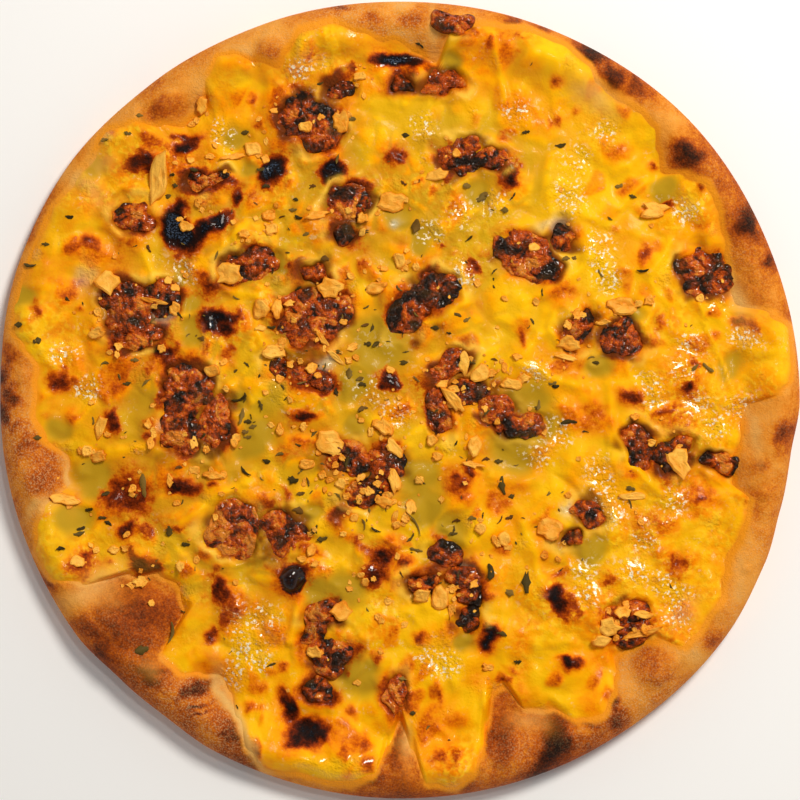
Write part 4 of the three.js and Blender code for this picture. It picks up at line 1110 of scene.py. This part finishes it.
def make_steak_piece(name, steak, material):
    middle_x, middle_y, length, width, _, redness = steak
    spokes = int(np.pi * (length + width) / 2 / STEAK_SPACING)
    floor = steak_floor(steak)
    out_x, out_y = steak_outline(steak, spokes)
    rings = []
    for reach in np.linspace(STEAK_FOOT, 0.04, int(length / 2 / STEAK_SPACING)):
        x, y = middle_x + reach * out_x, middle_y + reach * out_y
        crumb, _, _ = steak_crumbs(x, y)
        settled = 1 - 0.6 * smooth(0.9, STEAK_FOOT, reach)
        rings.append(np.stack([x, y, floor + steak_rise(steak, reach) + crumb * settled], axis=-1))
    foot = rings[0].copy()
    foot[:, 2] = floor - STEAK_SINK
    crumb, _, _ = steak_crumbs(np.array([middle_x]), np.array([middle_y]))
    centre = [middle_x, middle_y, floor + steak_rise(steak, 0) + crumb[0]]
    points = np.concatenate([[[middle_x, middle_y, floor - STEAK_SINK]], foot, *rings, [centre]])
    ring_count, last = len(rings) + 1, len(points) - 1
    faces = [
        ring_quads(ring_count, spokes, 1),
        fan(last, last - spokes, spokes, upward=True),
        fan(0, 1, spokes, upward=False),
    ]
    ring_number = np.concatenate([[0], np.repeat(np.arange(ring_count), spokes), [ring_count]])
    from_middle = points - np.array([middle_x, middle_y, 0])
    top_map = disc_map(from_middle, 1 - ring_number / ring_count, (0.42, 0.42), 0.41)
    under_map = disc_map(from_middle, np.arange(len(points)) > 0, (0.9, 0.9), 0.08)
    fields = steak_fields(points[:, 0], points[:, 1], redness)
    piece = add_piece(f"{name}_meat", points, faces, fields, [top_map, top_map, under_map], material)
    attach(piece, "root")
    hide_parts(name)


def food_top(x, y):
    """Height of whatever lies on top at a point: cheese, steak or bare dough."""
    top = np.where(cheese_inside(x, y) > 0, cheese_top(x, y), dough_top(x, y))
    for steak in STEAKS:
        near = np.hypot(x - steak[0], y - steak[1]) < steak[2]
        if near.any():
            reach = steak_reach(x[near], y[near], steak)
            crumb, _, _ = steak_crumbs(x[near], y[near])
            meat = steak_floor(steak) + steak_rise(steak, reach) + crumb
            top[near] = np.where(reach < 1, np.maximum(top[near], meat), top[near])
    return top


steak_material = make_steak_material()
for index, steak in enumerate(STEAKS):
    make_steak_piece(f"steak_{index + 1:02d}", steak, steak_material)

# ==== The garlic =========================================================================
# Flakes of garlic fried golden, strewn over the middle while the cheese was still soft, so
# that they stick to it. Each is a thin chip with toasted edges, with small crumbs round it.

GARLIC_SEED = 11
CHIP_THICKNESS = 2.0  # of the thickest
CHIP_CORNERS = 14  # points round each ring of a chip
CHIP_RINGS = [(0.88, 0.0), (1.0, 0.4), (0.95, 0.8), (0.74, 1.05), (0.4, 0.95)]  # (reach, height)
CHIP_SINK = 0.35  # how far one sinks into what it lies on
CHIP_TILT = 0.16
CRUMB_SPREAD = 4.5  # of the crumbs about their chip
STREWN_CRUMBS = 110
CRUMB_CIRCLE = 132  # no crumb lies further out
STEEPEST_SLOPE = 0.45  # that a chip or a leaf follows

# Fried garlic as it browns: (browning, colour as seen)
GARLIC_BROWNING = [
    (0.0, (250, 186, 72)), (0.3, (236, 148, 32)), (0.55, (208, 106, 12)), (0.78, (156, 68, 8)),
    (1.0, (80, 32, 4)),
]

# Chips: (x, y, length, width, turn in degrees)
GARLIC_CHIPS = [
    (-90, 83, 17, 7, 90), (-80, 65, 5, 4, 0), (-74, 71, 2, 2, 0), (-74, 110, 6, 4, 90),
    (-15, 121, 5, 3, 0), (-47, 108, 3, 2, 0), (-35, 102, 5, 4, 0), (-22, 104, 8, 6, 90),
    (-55, 94, 6, 5, 0), (-62, 91, 9, 2, 0), (-71, 91, 4, 2, 0), (14, 84, 8, 4, 0), (21, 92, 3, 3, 0),
    (95, 71, 9, 6, 0), (-109, 44, 8, 8, 90), (-92, 37, 10, 2, 0), (-84, 34, 5, 4, 90),
    (-113, 25, 6, 4, 0), (-84, 42, 3, 3, 0), (-105, 20, 3, 3, 0), (-113, 33, 3, 3, 0),
    (-112, -10, 8, 4, 90), (-64, 47, 9, 8, 0), (-49, 69, 5, 4, 0), (-48, 64, 5, 4, 0),
    (-58, 62, 4, 3, 0), (-52, 34, 7, 6, 90), (-46, 34, 6, 4, 90), (-26, 42, 9, 7, 0),
    (-29, 23, 8, 2, 135), (-24, 16, 8, 2, 135), (-47, 18, 8, 5, 0), (-44, 22, 3, 3, 0),
    (-70, 11, 6, 4, 0), (-31, 69, 8, 3, 0), (-14, 68, 4, 4, 0), (-9, 42, 8, 4, 0), (-3, 74, 9, 8, 0),
    (0, 52, 6, 4, 90), (-6, 49, 3, 2, 0), (50, 57, 4, 3, 0), (66, 32, 4, 3, 90), (63, 21, 8, 5, 0),
    (62, 16, 8, 2, 0), (76, 29, 5, 2, 0), (83, 35, 10, 7, 0), (93, 37, 4, 3, 0), (112, 38, 3, 3, 0),
    (-113, -21, 7, 4, 0), (-117, -19, 4, 4, 0), (-125, -37, 10, 4, 0), (-93, -16, 4, 3, 90),
    (-94, -9, 3, 3, 0), (-100, -33, 3, 3, 0), (-120, -60, 5, 4, 0), (-107, -56, 4, 3, 0),
    (-82, -62, 4, 3, 90), (-97, -68, 5, 4, 0), (-77, -26, 4, 3, 0), (-86, -30, 5, 2, 90),
    (-77, -16, 4, 3, 90), (-70, -28, 7, 3, 0), (-66, -28, 3, 3, 0), (-45, -11, 4, 3, 90),
    (-36, -10, 3, 3, 0), (-26, -16, 10, 9, 0), (-35, -24, 5, 4, 0), (-29, -28, 3, 3, 0),
    (-22, -31, 4, 4, 0), (-20, -36, 3, 3, 0), (-11, -34, 3, 2, 0), (-8, -37, 3, 3, 0),
    (-17, -44, 3, 3, 0), (-33, -56, 5, 3, 90), (-11, -12, 4, 2, 90), (-33, 12, 4, 4, 90),
    (-45, 8, 3, 3, 0), (24, 14, 8, 4, 90), (30, 10, 7, 6, 0), (34, 10, 4, 3, 0), (39, 12, 4, 2, 90),
    (42, 6, 7, 4, 0), (46, 8, 5, 3, 0), (16, 6, 4, 3, 0), (20, 4, 4, 3, 0), (20, 0, 11, 4, 135),
    (-6, -10, 8, 5, 135), (-2, -18, 8, 4, 135), (-2, -30, 9, 4, 90), (-12, -34, 3, 3, 0),
    (-6, -38, 6, 4, 0), (4, -40, 5, 4, 90), (-2, -44, 6, 2, 90), (2, -44, 3, 3, 0), (28, -17, 7, 5, 90),
    (12, -15, 4, 4, 0), (14, -21, 4, 3, 0), (27, -24, 8, 2, 0), (30, -48, 4, 4, 0), (39, -52, 6, 4, 90),
    (56, -48, 9, 8, 0), (54, -58, 3, 3, 0), (104, -23, 10, 8, 90), (94, -16, 3, 3, 0),
    (87, -36, 9, 3, 0), (-13, -68, 3, 3, 0), (8, -73, 6, 5, 0), (15, -74, 8, 7, 90),
    (19, -79, 4, 2, 90), (20, -70, 4, 2, 0), (33, -100, 4, 3, 0), (-22, -79, 7, 7, 0),
    (-32, -94, 6, 4, 0), (-8, -81, 3, 3, 0), (83, -79, 6, 4, 0), (91, -80, 7, 3, 0), (78, -85, 8, 6, 0),
    (90, -87, 14, 3, 0), (75, -90, 7, 4, 0),
]


def make_garlic_material():
    material, tree, shader = new_material("fried_garlic")
    toast = roughen(tree, field_value(tree, "toast"), 900.0, 0.6)
    tree.links.new(colour_ramp(tree, toast, GARLIC_BROWNING), shader.inputs["Base Color"])
    height = relief_height(tree, 800.0, 2200.0, 0.5)
    add_bump(tree, shader, height, 0.0005, 0.6)
    shader.inputs["Roughness"].default_value = 0.42
    shader.inputs["Specular IOR Level"].default_value = 0.15
    return material


def chip_outline(length, width, angles, random):
    """An angular outline with rounded corners, as broken flakes have."""
    corners = random.integers(4, 7)
    phase = random.uniform(0, 2 * np.pi)
    part = np.mod(angles - phase, 2 * np.pi / corners) - np.pi / corners
    angular = np.cos(np.pi / corners) / np.cos(part)
    reach = 0.3 + 0.7 * angular
    for bends in (2, 3, 4, 6):
        reach *= 1 + random.uniform(-0.13, 0.13) * np.cos(bends * angles + random.uniform(0, 6.28))
    reach *= 1 + random.uniform(-0.11, 0.11, len(angles))
    reach *= 1.08 / reach.mean()
    return length / 2 * reach * np.cos(angles), width / 2 * reach * np.sin(angles)


def turn_points(points, degrees):
    """Points turned about the upright axis."""
    turned = np.radians(degrees)
    x = points[:, 0] * np.cos(turned) - points[:, 1] * np.sin(turned)
    y = points[:, 0] * np.sin(turned) + points[:, 1] * np.cos(turned)
    return np.stack([x, y, points[:, 2]], axis=-1)


def make_chip(chip, random):
    """Points of a chip about its own middle, and how toasted each of them is."""
    place_x, place_y, length, width, turn = chip
    size = np.hypot(length, width)
    thickness = min(CHIP_THICKNESS, 0.35 * width + 0.3) * random.uniform(0.8, 1.15)
    angles = np.arange(CHIP_CORNERS) * 2 * np.pi / CHIP_CORNERS
    out_x, out_y = chip_outline(length, width, angles, random)
    curl = random.uniform(-0.5, 1.1) * min(1, length / 8)
    bend = random.uniform(0, np.pi)
    dark = random.uniform(0.0, 0.22)
    points, toast = [[0, 0, 0]], [dark + 0.3]
    for reach, level in CHIP_RINGS:
        x, y = reach * out_x, reach * out_y
        lift = curl * ((x * np.cos(bend) + y * np.sin(bend)) / (size / 2)) ** 2
        bumps = 0.5 * unevenness(x + place_x * 3, y + place_y * 3, 2.1, 101)
        bumps = (bumps + random.uniform(-0.14, 0.14, CHIP_CORNERS)) * level * min(1, thickness / 1.3)
        points.extend(np.stack([x, y, thickness * level + lift + bumps], axis=-1))
        rim = smooth(0.7, 1, reach)
        patch = 0.2 * unevenness(x + place_x * 5, y + place_y * 5, 2.2, 102)
        toast.extend(dark + patch + 0.16 * rim * (1 - 0.5 * level) + 0.3 * (1 - level))
    points.append([0, 0, thickness * 1.04])
    toast.append(dark)
    return turn_points(np.array(points, float), turn + random.uniform(-14, 14)), np.array(toast)


def lay_on_food(toppings, made, sink, tilt, random):
    """Lays each topping on whatever is under it, tilted as that slopes and a little more."""
    places = np.array([topping[:2] for topping in toppings], float)
    halves = [max(0.6, 0.32 * topping[2]) for topping in toppings]
    samples = []
    for (place_x, place_y), half in zip(places, halves):
        for step_x, step_y in ((0, 0), (half, 0), (-half, 0), (0, half), (0, -half)):
            samples.append((place_x + step_x, place_y + step_y))
    heights = food_top(*np.array(samples).T).reshape(-1, 5)
    laid = []
    for (place_x, place_y), half, points, found in zip(places, halves, made, heights):
        slope_x, slope_y = (found[1] - found[2]) / (2 * half), (found[3] - found[4]) / (2 * half)
        slope_x = np.clip(slope_x, -STEEPEST_SLOPE, STEEPEST_SLOPE) + random.uniform(-tilt, tilt)
        slope_y = np.clip(slope_y, -STEEPEST_SLOPE, STEEPEST_SLOPE) + random.uniform(-tilt, tilt)
        level = 0.5 * found.mean() + 0.5 * found.max() - sink
        x, y, z = points.T
        laid.append(np.stack([place_x + x, place_y + y, level + z + slope_x * x + slope_y * y], axis=-1))
    return laid


def scatter_crumbs(random):
    """Crumbs broken off the chips: most lie near one, and some are strewn over the middle."""
    crumbs = []
    for chip in GARLIC_CHIPS:
        for _ in range(random.integers(2, 6)):
            crumb_x = chip[0] + random.normal(0, CRUMB_SPREAD)
            crumb_y = chip[1] + random.normal(0, CRUMB_SPREAD)
            crumbs.append((crumb_x, crumb_y))
    for _ in range(STREWN_CRUMBS):
        crumbs.append((random.normal(-10, 50), random.normal(0, 50)))
    rows = []
    for crumb_x, crumb_y in crumbs:
        if np.hypot(crumb_x, crumb_y) < CRUMB_CIRCLE:
            size = 0.8 + 2.0 * random.random() ** 2
            rows.append((crumb_x, crumb_y, size * random.uniform(1, 1.5), size, random.uniform(0, 180)))
    return rows


def add_solids(name, solids, corners, fields, material):
    """One piece of many solids that are each a stack of rings between two middles.

    Each solid has a square of its own on the flat map.
    """
    sides, caps, places = [], [], []
    start = 0
    across = int(np.ceil(np.sqrt(len(solids))))
    for number, points in enumerate(solids):
        rings = (len(points) - 2) // corners
        last = start + len(points) - 1
        sides.append(ring_quads(rings, corners, start + 1))
        caps.append(fan(last, last - corners, corners, upward=True))
        caps.append(fan(start, start + 1, corners, upward=False))
        cell = np.array([number % across + 0.5, number // across + 0.5]) / across
        ring_number = np.concatenate([[rings + 1], np.repeat(np.arange(rings, 0, -1), corners), [0]])
        angle = np.concatenate([[0], np.tile(np.arange(corners) * 2 * np.pi / corners, rings), [0]])
        reach = 0.46 / across * ring_number / (rings + 1)
        places.append(cell + np.stack([reach * np.cos(angle), reach * np.sin(angle)], axis=-1))
        start = last + 1
    groups, flat = [np.concatenate(sides), np.concatenate(caps)], np.concatenate(places)
    return add_piece(name, np.concatenate(solids), groups, fields, [flat, flat], material)


def make_garlic():
    random = np.random.default_rng(GARLIC_SEED)
    chips = GARLIC_CHIPS + scatter_crumbs(random)
    made = [make_chip(chip, random) for chip in chips]
    solids = lay_on_food(chips, [points for points, _ in made], CHIP_SINK, CHIP_TILT, random)
    toast = np.concatenate([toast for _, toast in made])
    piece = add_solids("garlic_chips", solids, CHIP_CORNERS, {"toast": toast}, make_garlic_material())
    piece.data.shade_flat()
    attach(piece, "root")
    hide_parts("cheese")


make_garlic()

# ==== The herbs ==========================================================================
# Dried leaves, rubbed small and strewn over everything. They curled up and went dark in the
# oven, and lie loose on the cheese.

HERB_SEED = 23
LEAF_STATIONS = 7  # sections along a leaf
LEAF_CORNERS = 6  # points round each section
LEAF_THICKNESS = 0.16
LEAF_SINK = 0.1
LEAF_TILT = 0.22
STREWN_FLAKES = 210
FLAKE_CIRCLE = 134  # no small flake lies further out
USUAL_LEAF = (3, 2, 0)  # length, width and turn

# Dried leaf by its dryness: (dryness, colour as seen)
HERB_COLOURS = [
    (0.0, (52, 42, 16)), (0.45, (90, 72, 28)), (0.8, (136, 106, 44)), (1.0, (96, 54, 14)),
]

# Leaves: (x, y, length, width, turn in degrees), or (x, y) alone for a usual one
HERB_LEAVES = [
    (6, 65, 5, 4, 90), (31, 76, 7, 3, 45), (39, 71, 3, 3, 0), (25, 80, 3, 3, 0), (21, 32, 4, 2, 0),
    (25, 30, 3, 2, 45), (13, 27), (-138, 50, 5, 2, 0), (-142, 28, 3, 3, 0), (-135, 22, 3, 3, 0),
    (-132, 58), (-123, 68), (-110, 14), (-99, 15), (-102, 6), (-101, 99), (-97, 106), (-110, 97),
    (-58, 100), (-33, 80), (-52, 86), (-77, 86), (-85, 84, 2, 2, 0), (-84, 80, 2, 2, 0), (-87, 76),
    (-30, 118), (-18, 105), (2, 99), (47, 100), (32, 77), (60, 95, 4, 2, 0), (82, 80), (87, 76),
    (-50, 80), (-39, 75, 2, 2, 0), (-38, 68), (-40, 71), (-35, 62), (-13, 63), (-28, 53, 3, 3, 0),
    (-23, 18), (-12, 21, 4, 2, 0), (-9, 21, 3, 2, 45), (-19, 10, 4, 3, 90), (-48, 27), (-74, 23),
    (-13, 28), (65, 53), (62, 53), (73, 14), (110, 12, 4, 2, 45), (115, 12, 5, 2, 135), (58, 5),
    (-96, -32, 9, 3, 90), (-116, -41), (-111, -44), (-109, -46, 3, 2, 135), (-120, -50, 5, 2, 0),
    (-119, -48), (-126, -55), (-86, -49, 4, 3, 90), (-80, -54, 3, 3, 0), (-135, -14), (-110, -35),
    (-60, 0, 6, 2, 0), (-52, -2, 4, 2, 90), (-59, -6, 6, 2, 90), (-57, -8), (-55, -10), (-58, -12),
    (-57, -14), (-24, 3, 3, 2, 90), (-15, 8), (-14, 6), (-14, -3, 4, 2, 0), (-45, -20), (-50, -23),
    (-58, -27, 5, 2, 135), (-40, -30, 4, 4, 0), (-32, -49, 5, 3, 45), (-29, -52, 4, 3, 0), (-37, -35),
    (-16, -38), (-38, -41, 4, 3, 0), (-80, -54), (52, -2, 4, 2, 90), (57, 6), (38, -32, 7, 3, 90),
    (42, -36), (41, -44), (32, -22), (37, -23), (27, -44), (21, -45), (20, -50), (6, -46, 10, 1, 135),
    (63, -8, 6, 2, 0), (86, -33, 4, 2, 0), (6, -56, 5, 2, 0), (47, -68, 8, 4, 90), (41, -72, 4, 3, 0),
    (34, -64, 6, 4, 90), (38, -87, 4, 2, 0), (1, -104), (44, -98), (5, -117), (-96, -93, 5, 4, 0),
    (1, 14, 4, 2, 0), (-85, -87, 8, 1.4, 65),
]


def make_herb_material():
    material, tree, shader = new_material("dried_herb")
    colour = colour_ramp(tree, field_value(tree, "dryness"), HERB_COLOURS)
    tree.links.new(colour, shader.inputs["Base Color"])
    height = relief_height(tree, 1500.0, 3000.0, 0.5)
    add_bump(tree, shader, height, 0.0003, 0.5)
    shader.inputs["Roughness"].default_value = 0.55
    shader.inputs["Specular IOR Level"].default_value = 0.1
    return material


def make_leaf(leaf, random):
    """A thin leaf, folded along its middle and curled along its length."""
    length, width, turn = leaf[2:5]
    along = np.linspace(-0.5, 0.5, LEAF_STATIONS)
    half = 0.4 * width * (0.12 + 0.88 * np.cos(np.pi * along * 0.93) ** random.uniform(0.5, 0.9))
    half *= 0.85 + 0.38 * random.uniform(-1, 1, LEAF_STATIONS)
    fold = random.uniform(0.1, 0.7)
    curl = random.uniform(-0.5, 1.2) * length / 5
    sway = random.uniform(-0.16, 0.16) * length
    rings = []
    for position, reach in zip(along, half):
        x, y, z = position * length, sway * (2 * position) ** 2, curl * (2 * position) ** 2
        side = z + fold * reach
        rings.extend([
            (x, y - reach, side), (x, y, z), (x, y + reach, side), (x, y + reach, side + LEAF_THICKNESS),
            (x, y, z + LEAF_THICKNESS), (x, y - reach, side + LEAF_THICKNESS),
        ])
    stem, tip = (-length / 2 - 0.1, sway, curl + 0.1), (length / 2 + 0.1, sway, curl + 0.1)
    return turn_points(np.array([stem, *rings, tip]), turn + random.uniform(-20, 20))


def make_herbs():
    random = np.random.default_rng(HERB_SEED)
    leaves = [row + USUAL_LEAF[len(row) - 2:] for row in HERB_LEAVES]
    for _ in range(STREWN_FLAKES):
        place_x, place_y = random.normal(-8, 58), random.normal(0, 55)
        if np.hypot(place_x, place_y) < FLAKE_CIRCLE:
            size = 0.5 + 1.0 * random.random() ** 2
            leaves.append((place_x, place_y, size * random.uniform(1.4, 3.4), size, random.uniform(0, 180)))
    made = [make_leaf(leaf, random) for leaf in leaves]
    solids = lay_on_food(leaves, made, LEAF_SINK, LEAF_TILT, random)
    dryness = np.repeat(random.uniform(0, 1, len(solids)), len(solids[0]))
    piece = add_solids("herb_leaves", solids, LEAF_CORNERS, {"dryness": dryness}, make_herb_material())
    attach(piece, "root")
    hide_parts("cheese")


make_herbs()

# ==== The floor, the light and the camera ================================================
# A plain pale floor, a broad soft light overhead with a smaller one for the glints, and a
# camera that looks straight down, so that the pizza just fills the picture.

# In metres
PICTURE_WIDTH = 0.2993  # of the pizza's plane, across the picture
PICTURE_PLANE = 0.008  # its height
CAMERA_HEIGHT = 1.1  # over that plane
LENS = 120.0  # in millimetres
FLOOR_HALF = 2.0
FLOOR_GAP = 0.0002  # between the floor and the pizza


def make_floor():
    corners = [(x * FLOOR_HALF, y * FLOOR_HALF, 0) for x, y in ((-1, -1), (1, -1), (1, 1), (-1, 1))]
    mesh = bpy.data.meshes.new("floor")
    mesh.from_pydata(corners, [], [(0, 1, 2, 3)])
    material, _, shader = new_material("pale_floor")
    shader.inputs["Base Color"].default_value = srgb((250, 250, 250))
    shader.inputs["Roughness"].default_value = 0.9
    mesh.materials.append(material)
    floor = bpy.data.objects.new("floor", mesh)
    floor.location.z = -FLOOR_GAP
    bpy.context.scene.collection.objects.link(floor)


def add_area_light(name, place, size, power, colour):
    light = bpy.data.lights.new(name, "AREA")
    light.shape = "DISK"
    light.size = size
    light.energy = power
    light.color = colour
    lamp = bpy.data.objects.new(name, light)
    lamp.location = place
    lamp.rotation_euler = (-Vector(place)).to_track_quat("-Z", "Y").to_euler()
    bpy.context.scene.collection.objects.link(lamp)


def make_light():
    world = bpy.data.worlds.new("soft_room")
    world.use_nodes = True
    tree = world.node_tree
    background = tree.nodes["Background"]
    direction = add_node(tree, "ShaderNodeTexCoord").outputs["Generated"]
    upward = add_node(tree, "ShaderNodeSeparateXYZ", {0: direction}).outputs["Z"]
    tree.links.new(spread(tree, upward, 0.0, 1.0, 0.95, 0.02), background.inputs["Strength"])
    background.inputs["Color"].default_value = (1.0, 0.98, 0.95, 1.0)
    bpy.context.scene.world = world
    add_area_light("main_light", (0.45, 0.60, 1.05), 0.34, 13.0, (1.0, 0.95, 0.87))
    add_area_light("glint_light", (0.22, 0.26, 1.15), 0.10, 1.4, (1.0, 0.97, 0.93))


def make_camera():
    data = bpy.data.cameras.new("camera")
    data.sensor_width = PICTURE_WIDTH * LENS / CAMERA_HEIGHT
    data.lens = LENS
    data.clip_end = 20.0
    camera = bpy.data.objects.new("camera", data)
    camera.location = (0, 0, PICTURE_PLANE + CAMERA_HEIGHT)
    bpy.context.scene.collection.objects.link(camera)
    bpy.context.scene.camera = camera


make_floor()
make_light()
make_camera()
bpy.context.scene.view_settings.view_transform = "Standard"
bpy.context.scene.view_settings.look = "None"
